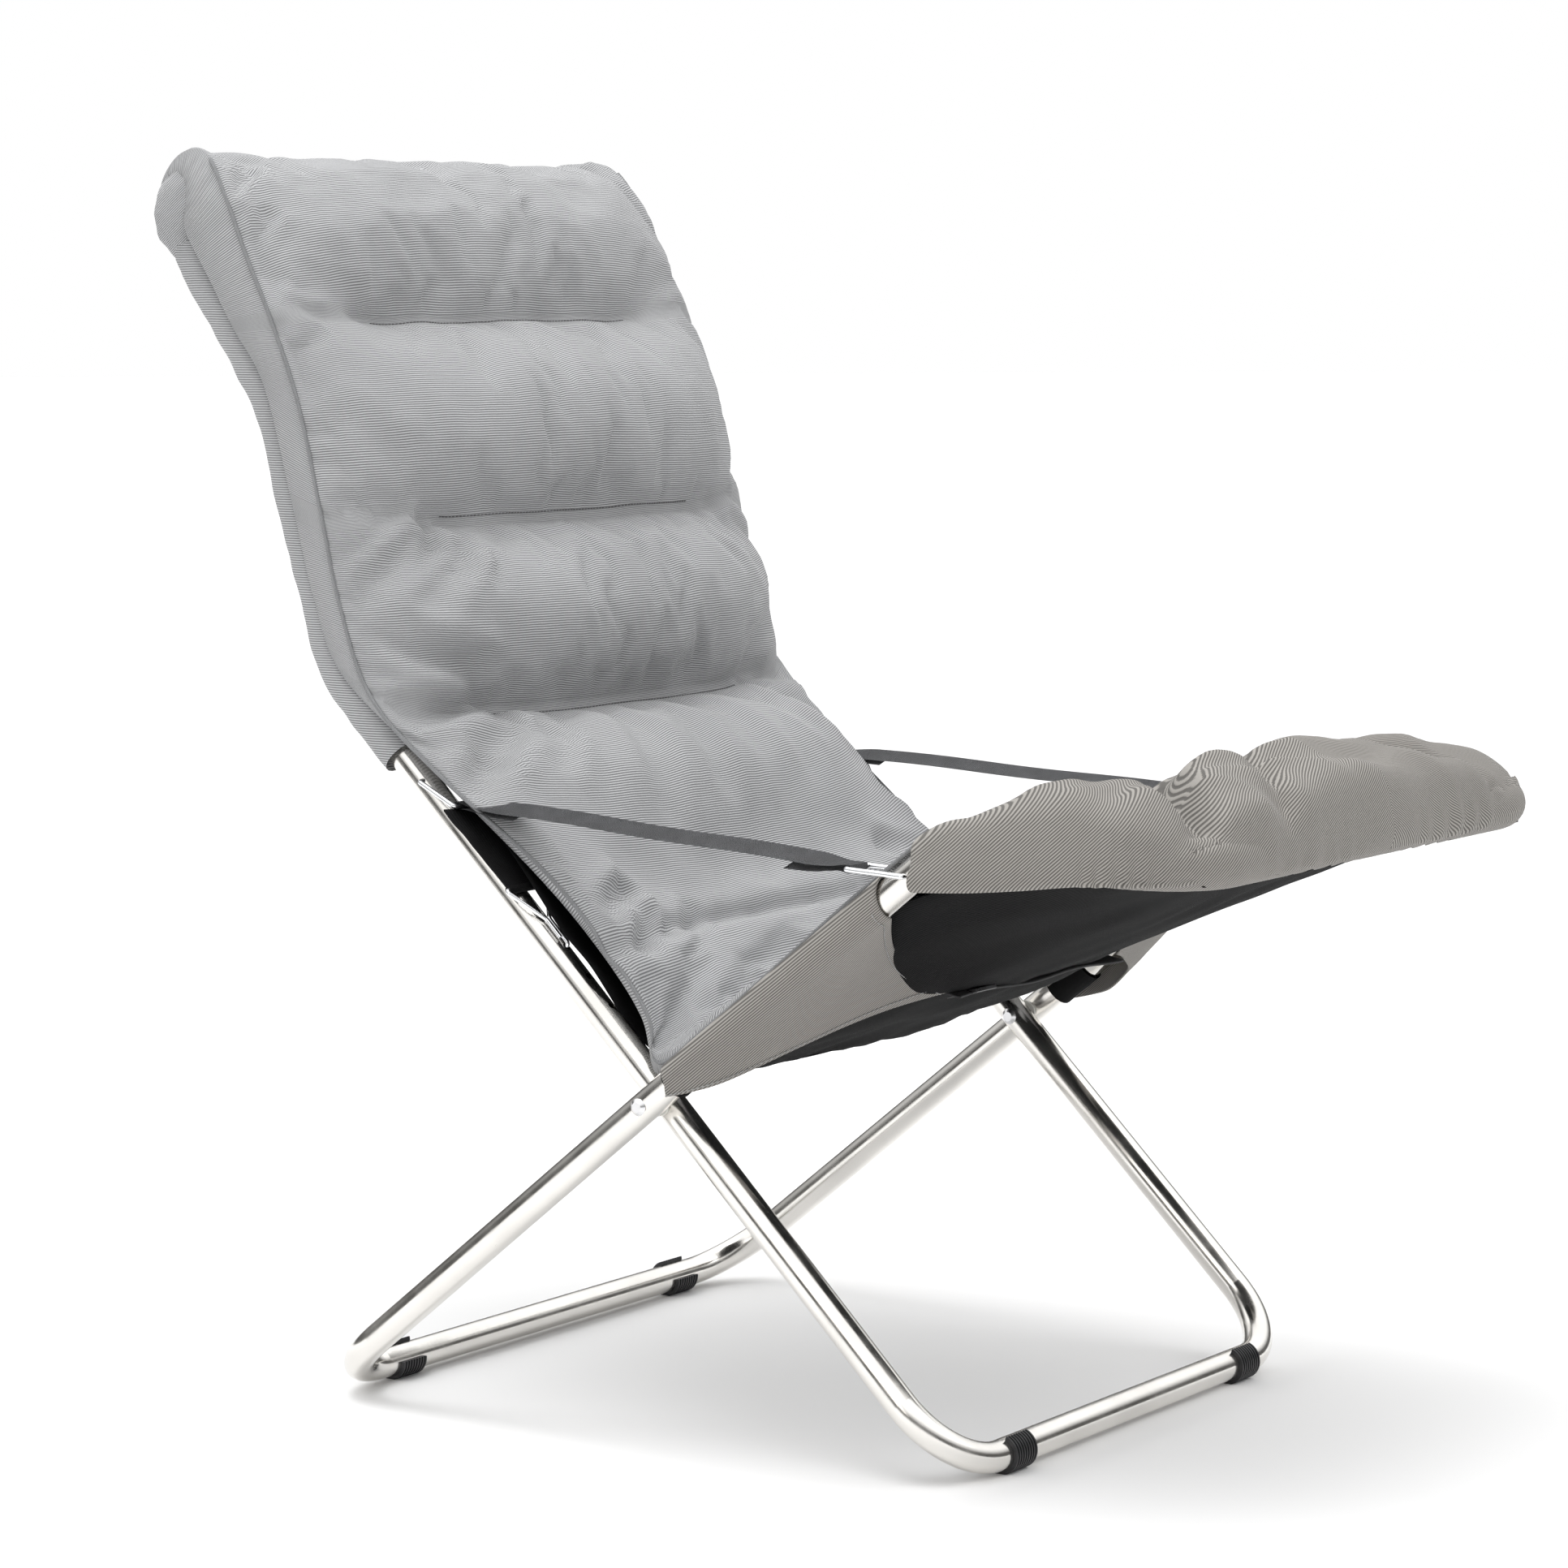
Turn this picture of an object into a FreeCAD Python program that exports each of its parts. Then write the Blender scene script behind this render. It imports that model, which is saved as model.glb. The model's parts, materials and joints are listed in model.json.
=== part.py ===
import FreeCAD, Part
import math
import os
import Sketcher

# Padded folding relax chair: two bent tube frames crossing on side rivets, a padded cover over slings.
# Millimetres, +Z up, the sitter faces -Y, X = 0 is the plane of symmetry.
# Every piece is laid out about the cross rivet (y = 0 there) and then shifted so that the origin
# lies on the floor under the middle of the chair.

V = FreeCAD.Vector
DOC = FreeCAD.newDocument("folding_chair")

DIMENSIONS = (
    ("tube_dia", 25.0, "outside diameter of the frame tubes"),
    ("tube_wall", 1.2, "wall of the frame tubes"),
    ("seat_frame_width", 580.0, "seat frame, side tube centre to side tube centre"),
    ("tube_gap", 2.5, "space between the side tubes of the two frames"),
    ("pivot_height", 279.0, "cross rivet above the floor"),
    ("seat_leg_angle", 38.6, "seat frame side tubes above the floor, degrees"),
    ("back_leg_angle", 44.5, "back frame side tubes above the floor, degrees"),
    ("floor_bend", 65.0, "centreline radius of the corners at the floor bars"),
    ("arm_reach", 365.0, "cross rivet to the seat frame's upper bend"),
    ("front_bar_reach", 482.0, "cross rivet to the front bar, level"),
    ("front_bar_height", 497.0, "front bar above the floor"),
    ("front_bend", 60.0, "centreline radius of the seat frame's upper bends"),
    ("front_corner", 70.0, "centreline radius of the front bar's corners"),
    ("lumbar_reach", 468.0, "cross rivet to the back frame's first bend"),
    ("lumbar_bend", 120.0, "centreline radius of the first bend"),
    ("rise_angle", 73.6, "back frame above its first bend, degrees"),
    ("rise_length", 233.5, "first bend to second bend"),
    ("head_angle", 54.7, "back frame above its second bend, degrees"),
    ("head_length", 188.7, "second bend to the top bar"),
    ("head_bend", 100.0, "centreline radius of the second bend"),
    ("top_corner", 70.0, "centreline radius of the top bar's corners"),
    ("seat_joint_reach", 262.0, "cross rivet to the hidden joint in the seat frame"),
    ("back_joint_reach", 90.0, "first bend to the hidden joint in the back frame"),
    ("sleeve_length", 50.0, "joint sleeve inside the tubes"),
    ("sleeve_wall", 1.5, "wall of the joint sleeves"),
    ("joint_rivet_pitch", 28.0, "joint rivets, centre to centre across a joint"),
    ("joint_rivet_dia", 4.0, "shank of the joint rivets"),
    ("joint_head_dia", 7.0, "head of the joint rivets"),
    ("joint_head_rise", 1.2, "head of the joint rivets, height"),
    ("pivot_dia", 6.0, "shank of the cross rivets"),
    ("pivot_head_dia", 14.0, "head of the cross rivets"),
    ("pivot_head_rise", 2.6, "head of the cross rivets, height"),
    ("running_gap", 0.05, "radial clearance of pins that turn"),
    ("washer_dia", 22.0, "washer between the two frames"),
    ("washer_gap", 0.1, "free play at each face of the washer"),
    ("foot_wall", 3.4, "clip foot, wall over its ribs"),
    ("foot_groove", 1.0, "depth of the grooves between the ribs"),
    ("foot_gap", 0.1, "clip foot to tube"),
    ("foot_length", 30.0, "clip foot along the floor bar"),
    ("foot_ribs", 9.0, "number of ribs on a clip foot"),
    ("foot_flat", 0.6, "depth of the flat that a clip foot stands on"),
    ("foot_opening", 96.0, "open side of the clip foot, degrees"),
    ("front_foot_place", 180.0, "front feet from the middle"),
    ("rear_foot_place", 198.0, "rear feet from the middle"),
    ("link_wire", 4.4, "wire of the arm strap links"),
    ("link_side_gap", 0.5, "link leg to tube"),
    ("link_tip", 7.0, "link ends inside the tube, from the tube's axis"),
    ("rear_link_reach", 339.0, "cross rivet to the rear link's hole, along the tube"),
    ("rear_link_depth", 6.5, "rear link's hole below the top of the tube"),
    ("rear_link_run", 38.0, "rear link's closed end, back along the tube"),
    ("rear_link_lift", 12.0, "rear link's closed end above its hole"),
    ("front_link_reach", 320.0, "cross rivet to the front link's hole, along the tube"),
    ("front_link_run", 39.0, "front link's closed end, back along the tube"),
    ("front_link_lift", 34.0, "front link's closed end above its hole"),
    ("strap_width", 24.0, "arm strap webbing"),
    ("strap_thick", 4.6, "arm strap, webbing doubled"),
    ("strap_eye_gap", 1.0, "link wire to the eye of the strap that holds it"),
    ("hook_wire", 3.6, "wire of the sling hooks"),
    ("hook_reach", 152.0, "cross rivet to the hole that the hook stands in"),
    ("hook_pitch", 31.5, "adjusting holes, centre to centre"),
    ("hook_holes", 3.0, "number of adjusting holes"),
    ("hook_hole_dia", 6.4, "adjusting holes"),
    ("hook_gap", 1.2, "hook wire to the tube under it"),
    ("hook_neck", 27.0, "length of the hook's straight neck"),
    ("hook_fork", 34.0, "from the neck to the hook's base bar, along the tube"),
    ("hook_base", 54.0, "width of the hook's base bar"),
    ("pad_clearance", 3.5, "frame tubes to the back of the pads"),
    ("back_pad_margin", 5.0, "padded back to the seat frame's tube axis, each side"),
    ("back_pad_rounding", 95.0, "padded back, width of each thinning side"),
    ("seat_pad_margin", 60.0, "padded seat to the seat frame's tube axis, each side"),
    ("seat_pad_thick", 44.0, "padded seat"),
    ("hammock_pad_margin", 90.0, "part between seat and back to the tube axis, each side"),
    ("seat_lift", 4.0, "underside of the padded seat above the sling's"),
    ("back_pad_start", 368.0, "cross rivet to the padded back's lower end, along the tubes"),
    ("pad_joint_gap", 4.4, "between the padded back and the part below it"),
    ("head_roll", 40.0, "padded back above the top bar, along the head"),
    ("hood_rear", 283.0, "rear edge of the front pocket from the cross rivet"),
    ("hood_wall", 3.0, "cloth and wadding around the front bar"),
    ("pocket_wall", 2.7, "cloth around the top bar"),
    ("pocket_depth", 95.0, "top pocket, down each side from the top bar"),
    ("cloth_gap", 0.3, "cloth to tube"),
    ("sling_thick", 3.0, "black sling cloth with its hem"),
    ("back_sling_margin", 7.0, "sling behind the back to the back frame's tubes, each side"),
    ("seat_sling_margin", 50.0, "sling under the seat to the tube axis, each side"),
    ("wrap_gap", 2.0, "side wrap to the tube inside it"),
    ("wrap_thick", 2.0, "side wrap"),
    ("tab_wall", 1.5, "sling tab around the tube"),
    ("tab_start", 34.0, "cross rivet to the sling tab"),
    ("tab_length", 40.0, "sling tab along the tube"),
    ("under_strap_width", 25.0, "strap under the seat"),
    ("under_strap_thick", 1.8, "strap under the seat"),
    ("buckle_wall", 3.0, "slide buckle"),
)

sheet = DOC.addObject("Spreadsheet::Sheet", "Dims")
for row, (alias, value, meaning) in enumerate(DIMENSIONS, start=1):
    sheet.set(f"A{row}", meaning)
    sheet.set(f"B{row}", str(value))
    sheet.setAlias(f"B{row}", alias)
DOC.recompute()


def dim(alias):
    """The value of one cell of the dimension sheet."""
    return float(sheet.get(alias))


# ---------------------------------------------------------------- layout in the side plane

TUBE_R = dim("tube_dia") / 2
SEAT_X = dim("seat_frame_width") / 2
BACK_X = SEAT_X - dim("tube_dia") - dim("tube_gap")
REAR_LINK_RISE = TUBE_R - dim("rear_link_depth")
HOOK_RISE = TUBE_R + dim("hook_gap") + dim("hook_wire") / 2
FLOOR_BAR_Z = TUBE_R + dim("foot_gap") + dim("foot_wall") - dim("foot_flat")
SIDES = (("left", 1), ("right", -1))


def side_point(y, z):
    """A point given by its distance behind the cross rivet and its height above the floor."""
    return V(0, y, z)


def direction(degrees):
    """Unit vector in the side plane, counted from +Y towards +Z."""
    turn = math.radians(degrees)
    return V(0, math.cos(turn), math.sin(turn))


PIVOT = side_point(0, dim("pivot_height"))
SEAT_ALONG = direction(180 - dim("seat_leg_angle"))
SEAT_UP = direction(90 - dim("seat_leg_angle"))
BACK_ALONG = direction(dim("back_leg_angle"))
BACK_UP = direction(90 + dim("back_leg_angle"))
RISE_ALONG = direction(dim("rise_angle"))
RISE_UP = direction(90 + dim("rise_angle"))
HEAD_ALONG = direction(dim("head_angle"))
HEAD_UP = direction(90 + dim("head_angle"))


def on_seat(along, above=0.0):
    """A point beside the seat frame's side tubes."""
    return PIVOT + SEAT_ALONG * along + SEAT_UP * above


def on_back(along, above=0.0):
    """A point beside the lower part of the back frame's side tubes."""
    return PIVOT + BACK_ALONG * along + BACK_UP * above


REAR_BAR = on_seat(-(dim("pivot_height") - FLOOR_BAR_Z) / SEAT_ALONG.z)
FRONT_FLOOR_BAR = on_back(-(dim("pivot_height") - FLOOR_BAR_Z) / BACK_ALONG.z)
SEAT_BEND = on_seat(dim("arm_reach"))
FRONT_BAR = side_point(-dim("front_bar_reach"), dim("front_bar_height"))
LUMBAR = on_back(dim("lumbar_reach"))
HEAD_BEND = LUMBAR + RISE_ALONG * dim("rise_length")
TOP_BAR = HEAD_BEND + HEAD_ALONG * dim("head_length")
SEAT_JOINT = on_seat(dim("seat_joint_reach"))
BACK_JOINT = LUMBAR + RISE_ALONG * dim("back_joint_reach")

POCKET_R = TUBE_R + dim("cloth_gap") + dim("pocket_wall")
HOOD_R = TUBE_R + dim("cloth_gap") + dim("hood_wall")
DEPTH_MIDDLE = (TOP_BAR.y + POCKET_R + FRONT_BAR.y - HOOD_R) / 2
DATUM = FreeCAD.Placement(V(0, -DEPTH_MIDDLE, 0), FreeCAD.Rotation())

nodes = []


def keep(piece, label, own=None):
    """Name a finished piece and put it in the chair's frame."""
    piece.Label = label
    piece.Placement = DATUM.multiply(own or FreeCAD.Placement())
    nodes.append(piece)
    return piece


# ---------------------------------------------------------------- ways of making a piece


def bent_wire(corners, radii):
    """Straight runs between the corners, each corner rounded by a tangent arc."""
    edges = []
    start = corners[0]
    for before, corner, after, radius in zip(corners, corners[1:], corners[2:], radii):
        back = (before - corner).normalize()
        ahead = (after - corner).normalize()
        half_turn = (math.pi - back.getAngle(ahead)) / 2
        run = radius * math.tan(half_turn)
        inward = (back + ahead).normalize()
        middle = corner + inward * (radius / math.cos(half_turn) - radius)
        edges.append(Part.LineSegment(start, corner + back * run).toShape())
        edges.append(Part.Arc(corner + back * run, middle, corner + ahead * run).toShape())
        start = corner + ahead * run
    edges.append(Part.LineSegment(start, corners[-1]).toShape())
    return Part.Wire(edges)


def swept(name, corners, radii, radius_expression):
    """A round bar or bore along a bent wire."""
    spine = DOC.addObject("Part::Feature", name + "_line")
    spine.Shape = bent_wire(corners, radii)
    first = spine.Shape.Edges[0]
    section = DOC.addObject("Part::Circle", name + "_section")
    section.setExpression("Radius", radius_expression)
    turn = FreeCAD.Rotation(V(0, 0, 1), first.tangentAt(first.FirstParameter))
    section.Placement = FreeCAD.Placement(first.valueAt(first.FirstParameter), turn)
    bar = DOC.addObject("Part::Sweep", name)
    bar.Sections = [section]
    bar.Spine = (spine, [f"Edge{i + 1}" for i in range(len(spine.Shape.Edges))])
    bar.Solid = True
    bar.Frenet = False
    return bar


def cylinder(name, start, along, length, radius_expression):
    """A cylinder from a point along a direction."""
    bar = DOC.addObject("Part::Cylinder", name)
    bar.setExpression("Radius", radius_expression)
    bar.Height = length
    bar.Placement = FreeCAD.Placement(start, FreeCAD.Rotation(V(0, 0, 1), along))
    return bar


def cut(name, base, tools):
    """The base less the tools."""
    joined = tools[0]
    if len(tools) > 1:
        joined = DOC.addObject("Part::MultiFuse", name + "_cutters")
        joined.Shapes = tools
    result = DOC.addObject("Part::Cut", name)
    result.Base = base
    result.Tool = joined
    return result


def fuse(name, shapes):
    """Several shapes as one piece."""
    result = DOC.addObject("Part::MultiFuse", name)
    result.Shapes = shapes
    return result


def new_body(name):
    return DOC.addObject("PartDesign::Body", name)


def plane_sketch(body, role, name, offset=0.0):
    """An empty sketch on one of the body's own origin planes."""
    sketch = body.newObject("Sketcher::SketchObject", name)
    plane = [f for f in body.Origin.OriginFeatures if f.Role == role][0]
    sketch.AttachmentSupport = [(plane, "")]
    sketch.MapMode = "FlatFace"
    sketch.AttachmentOffset = FreeCAD.Placement(V(0, 0, offset), FreeCAD.Rotation())
    return sketch


def draw_polygon(sketch, points):
    """A closed outline of straight edges, corners joined."""
    count = len(points)
    for i in range(count):
        a, b = points[i], points[(i + 1) % count]
        sketch.addGeometry(Part.LineSegment(V(a[0], a[1], 0), V(b[0], b[1], 0)), False)
    for i in range(count):
        sketch.addConstraint(Sketcher.Constraint("Coincident", i, 2, (i + 1) % count, 1))


def draw_circle(sketch, centre, radius_expression):
    """A circle held by its radius and its centre."""
    index = sketch.addGeometry(Part.Circle(V(centre[0], centre[1], 0), V(0, 0, 1), 1.0), False)
    radius = sketch.addConstraint(Sketcher.Constraint("Radius", index, 1.0))
    sketch.setExpression(f"Constraints[{radius}]", radius_expression)
    sketch.addConstraint(Sketcher.Constraint("DistanceX", index, 3, centre[0]))
    sketch.addConstraint(Sketcher.Constraint("DistanceY", index, 3, centre[1]))
    return index


def pad(body, sketch, length_expression, midplane=True, reverse=False):
    """Thicken a sketch by a bound length."""
    feature = body.newObject("PartDesign::Pad", sketch.Name + "_pad")
    feature.Profile = sketch
    feature.SideType = "Symmetric" if midplane else "One side"
    feature.Reversed = reverse
    feature.setExpression("Length", length_expression)
    return feature


def side_slab(label, points, width_expression):
    """A flat-sided solid: an outline in the side plane, the same across its width."""
    body = new_body(label + "_body")
    sketch = plane_sketch(body, "YZ_Plane", label + "_outline")
    draw_polygon(sketch, points)
    pad(body, sketch, width_expression)
    return keep(body, label)


def side_loft(label, sections):
    """A solid that runs through outlines at several distances from the middle."""
    body = new_body(label + "_body")
    sketches = []
    for i, (x, points) in enumerate(sections):
        sketch = plane_sketch(body, "YZ_Plane", f"{label}_outline_{i}", x)
        draw_polygon(sketch, points)
        sketches.append(sketch)
    loft = body.newObject("PartDesign::AdditiveLoft", label + "_loft")
    loft.Profile = sketches[0]
    loft.Sections = sketches[1:]
    loft.Ruled = True
    return keep(body, label)


def flat(points):
    """Side-plane points as the outline coordinates of a sketch."""
    return [(p.y, p.z) for p in points]


def across(side, x, point):
    """The same side-plane point at a distance x from the middle, on one side."""
    return V(side * x, point.y, point.z)


# ---------------------------------------------------------------- frames

BORE = "Dims.tube_dia / 2 - Dims.tube_wall"
OUTSIDE = "Dims.tube_dia / 2"
PIVOT_HOLE = "Dims.pivot_dia / 2 + Dims.running_gap"
JOINT_HOLE = "Dims.joint_rivet_dia / 2"
LINK_HOLE = "Dims.link_wire / 2 + Dims.running_gap"


def u_path(x, side_points):
    """A path up one side, across, and down the other, from the points of one side."""
    left = [V(x, p.y, p.z) for p in side_points]
    right = [V(-x, p.y, p.z) for p in reversed(side_points)]
    return left + right


def cross_hole(name, x, point, radius_expression):
    """A hole right through one side tube, from side to side."""
    reach = dim("tube_dia")
    return cylinder(name, V(x - reach, point.y, point.z), V(1, 0, 0), 2 * reach, radius_expression)


def frame_tube(label, corners, radii, holes):
    """A bent tube with its bore and its drilled holes."""
    outside = swept(label + "_outside", corners, radii, OUTSIDE)
    bore = swept(label + "_bore", corners, radii, BORE)
    return keep(cut(label + "_cut", outside, [bore] + holes), label)


def joint_points(joint, along):
    """The two rivet places of a joint, one in each tube."""
    half = dim("joint_rivet_pitch") / 2
    return joint - along * half, joint + along * half


SEAT_RIVETS = joint_points(SEAT_JOINT, SEAT_ALONG)
BACK_RIVETS = joint_points(BACK_JOINT, RISE_ALONG)
REAR_LINK_HOLE = on_back(dim("rear_link_reach"), REAR_LINK_RISE)
FRONT_LINK_HOLE = on_seat(dim("front_link_reach"))


def both_sides(name, x, point, radius_expression):
    """The same cross hole in both side tubes."""
    return [cross_hole(f"{name}_{s}", k * x, point, radius_expression) for s, k in SIDES]


def adjusting_holes():
    """The row of hook holes in the top wall of each back frame side tube."""
    holes = []
    for side, sign in SIDES:
        for i in range(int(dim("hook_holes"))):
            foot = on_back(dim("hook_reach") - i * dim("hook_pitch"))
            start = across(sign, BACK_X, foot)
            name = f"adjusting_hole_{side}_{i}"
            holes.append(cylinder(name, start, BACK_UP, dim("tube_dia"), "Dims.hook_hole_dia / 2"))
    return holes


frame_tube(
    "seat_leg_tube",
    u_path(SEAT_X, [SEAT_JOINT, REAR_BAR]),
    [dim("floor_bend")] * 2,
    both_sides("seat_pivot_hole", SEAT_X, PIVOT, PIVOT_HOLE)
    + both_sides("seat_low_rivet_hole", SEAT_X, SEAT_RIVETS[0], JOINT_HOLE),
)
frame_tube(
    "seat_front_tube",
    u_path(SEAT_X, [SEAT_JOINT, SEAT_BEND, FRONT_BAR]),
    [dim("front_bend"), dim("front_corner"), dim("front_corner"), dim("front_bend")],
    both_sides("front_link_hole", SEAT_X, FRONT_LINK_HOLE, LINK_HOLE)
    + both_sides("seat_high_rivet_hole", SEAT_X, SEAT_RIVETS[1], JOINT_HOLE),
)
frame_tube(
    "back_leg_tube",
    u_path(BACK_X, [BACK_JOINT, LUMBAR, FRONT_FLOOR_BAR]),
    [dim("lumbar_bend"), dim("floor_bend"), dim("floor_bend"), dim("lumbar_bend")],
    both_sides("back_pivot_hole", BACK_X, PIVOT, PIVOT_HOLE)
    + both_sides("back_low_rivet_hole", BACK_X, BACK_RIVETS[0], JOINT_HOLE)
    + both_sides("rear_link_hole", BACK_X, REAR_LINK_HOLE, LINK_HOLE)
    + adjusting_holes(),
)
frame_tube(
    "back_head_tube",
    u_path(BACK_X, [BACK_JOINT, HEAD_BEND, TOP_BAR]),
    [dim("head_bend"), dim("top_corner"), dim("top_corner"), dim("head_bend")],
    both_sides("back_high_rivet_hole", BACK_X, BACK_RIVETS[1], JOINT_HOLE),
)


def joint_sleeves(label, x, joint, along, rivets):
    """The sleeves that join two bent tubes, one in each side."""
    pieces = []
    for side, sign in SIDES:
        length = dim("sleeve_length")
        start = across(sign, x, joint - along * (length / 2))
        name = f"{label}_{side}"
        outside = cylinder(name + "_outside", start, along, length, BORE)
        bore = cylinder(name + "_bore", start, along, length, BORE + " - Dims.sleeve_wall")
        holes = [
            cross_hole(f"{name}_hole_{i}", sign * x, point, JOINT_HOLE)
            for i, point in enumerate(rivets)
        ]
        pieces.append(cut(name, outside, [bore] + holes))
    keep(fuse(label + "_pair", pieces), label)


def rivet(name, start, along, grip, shank_expression, head_expression, rise):
    """A shank with a domed head at each end."""
    shank = cylinder(name + "_shank", start, along, grip, shank_expression)
    heads = []
    for i, (place, outward) in enumerate(((start, along * -1), (start + along * grip, along))):
        head = DOC.addObject("Part::Cone", f"{name}_head_{i}")
        head.setExpression("Radius1", head_expression)
        head.setExpression("Radius2", head_expression + " * 0.6")
        head.Height = rise
        head.Placement = FreeCAD.Placement(place, FreeCAD.Rotation(V(0, 0, 1), outward))
        heads.append(head)
    return fuse(name, [shank] + heads)


def joint_rivets(label, x, rivets):
    """The rivets through the joint sleeves, all four in one group."""
    pieces = []
    for side, sign in SIDES:
        for i, point in enumerate(rivets):
            start = V(sign * x - TUBE_R, point.y, point.z)
            pieces.append(
                rivet(
                    f"{label}_{side}_{i}",
                    start,
                    V(1, 0, 0),
                    dim("tube_dia"),
                    JOINT_HOLE,
                    "Dims.joint_head_dia / 2",
                    dim("joint_head_rise"),
                )
            )
    keep(fuse(label + "_group", pieces), label)


joint_sleeves("seat_joint_sleeves", SEAT_X, SEAT_JOINT, SEAT_ALONG, SEAT_RIVETS)
joint_sleeves("back_joint_sleeves", BACK_X, BACK_JOINT, RISE_ALONG, BACK_RIVETS)
joint_rivets("seat_joint_rivets", SEAT_X, SEAT_RIVETS)
joint_rivets("back_joint_rivets", BACK_X, BACK_RIVETS)

# ---------------------------------------------------------------- cross rivets and washers

for side, sign in SIDES:
    inner = BACK_X - TUBE_R
    outer = SEAT_X + TUBE_R
    keep(
        rivet(
            f"pivot_rivet_{side}_piece",
            across(sign, inner, PIVOT),
            V(sign, 0, 0),
            outer - inner,
            "Dims.pivot_dia / 2",
            "Dims.pivot_head_dia / 2",
            dim("pivot_head_rise"),
        ),
        f"pivot_rivet_{side}",
    )
    start = across(sign, BACK_X + TUBE_R + dim("washer_gap"), PIVOT)
    thickness = dim("tube_gap") - 2 * dim("washer_gap")
    disc = cylinder(f"washer_{side}_disc", start, V(sign, 0, 0), thickness, "Dims.washer_dia / 2")
    hole = cylinder(f"washer_{side}_hole", start, V(sign, 0, 0), thickness, PIVOT_HOLE)
    keep(cut(f"washer_{side}_cut", disc, [hole]), f"pivot_washer_{side}")

# ---------------------------------------------------------------- clip feet


def clip_foot(label, x, bar, opening_turn):
    """A ribbed C clip on a floor bar: a ring with a slot, turned so that the slot faces inwards."""
    body = new_body(label + "_body")
    half_open = math.radians(dim("foot_opening") / 2)
    inner = TUBE_R + dim("foot_gap")
    outer = inner + dim("foot_wall")
    core = outer - dim("foot_groove")
    pitch = dim("foot_length") / (2 * dim("foot_ribs") - 1)

    def ring(name, radius):
        """An open ring whose gap is centred on the sketch's +X."""
        sketch = plane_sketch(body, "YZ_Plane", name)
        ends = []
        for r in (inner, radius):
            arc = Part.ArcOfCircle(
                Part.Circle(V(0, 0, 0), V(0, 0, 1), r), half_open, 2 * math.pi - half_open
            )
            ends.append(sketch.addGeometry(arc, False))
        for turn in (half_open, -half_open):
            near = V(inner * math.cos(turn), inner * math.sin(turn), 0)
            far = V(radius * math.cos(turn), radius * math.sin(turn), 0)
            sketch.addGeometry(Part.LineSegment(near, far), False)
        for line, corner in ((2, 1), (3, 2)):
            sketch.addConstraint(Sketcher.Constraint("Coincident", ends[0], corner, line, 1))
            sketch.addConstraint(Sketcher.Constraint("Coincident", ends[1], corner, line, 2))
        return sketch

    pad(body, ring(label + "_core", core), "Dims.foot_length")
    rib_sketch = ring(label + "_rib", outer)
    rib_sketch.AttachmentOffset = FreeCAD.Placement(
        V(0, 0, -dim("foot_length") / 2), FreeCAD.Rotation()
    )
    rib = pad(body, rib_sketch, "Dims.foot_length / (2 * Dims.foot_ribs - 1)", midplane=False)
    rows = body.newObject("PartDesign::LinearPattern", label + "_ribs")
    rows.Originals = [rib]
    rows.Direction = (rib_sketch, ["N_Axis"])
    rows.Length = dim("foot_length") - pitch
    rows.Occurrences = int(dim("foot_ribs"))
    body.Tip = rows
    turn = FreeCAD.Rotation(V(1, 0, 0), opening_turn)
    body.Placement = FreeCAD.Placement(V(x, bar.y, bar.z), turn)
    floor = DOC.addObject("Part::Box", label + "_floor")
    floor.Length = floor.Width = 2 * dim("foot_length")
    floor.Height = dim("foot_wall")
    corner = V(x - dim("foot_length"), bar.y - dim("foot_length"), -dim("foot_wall"))
    floor.Placement = FreeCAD.Placement(corner, FreeCAD.Rotation())
    keep(cut(label + "_cut", body, [floor]), label)


for side, sign in SIDES:
    clip_foot(f"front_foot_{side}", sign * dim("front_foot_place"), FRONT_FLOOR_BAR, 62)
    clip_foot(f"rear_foot_{side}", sign * dim("rear_foot_place"), REAR_BAR, 128)

# ---------------------------------------------------------------- arm strap links and straps


def strap_link(label, side_sign, x, hole, closed_end):
    """A wire loop astride a tube, its two ends standing in the tube's hole."""
    leg = TUBE_R + dim("link_side_gap") + dim("link_wire") / 2
    tip = dim("link_tip")
    corner = leg - TUBE_R
    path = [
        V(side_sign * x - tip, hole.y, hole.z),
        V(side_sign * x - leg, hole.y, hole.z),
        V(side_sign * x - leg, closed_end.y, closed_end.z),
        V(side_sign * x + leg, closed_end.y, closed_end.z),
        V(side_sign * x + leg, hole.y, hole.z),
        V(side_sign * x + tip, hole.y, hole.z),
    ]
    keep(swept(label + "_wire", path, [corner] * 4, "Dims.link_wire / 2"), label)


REAR_LINK_END = on_back(
    dim("rear_link_reach") - dim("rear_link_run"), REAR_LINK_RISE + dim("rear_link_lift")
)
FRONT_LINK_END = on_seat(
    dim("front_link_reach") - dim("front_link_run"), dim("front_link_lift")
)


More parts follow.
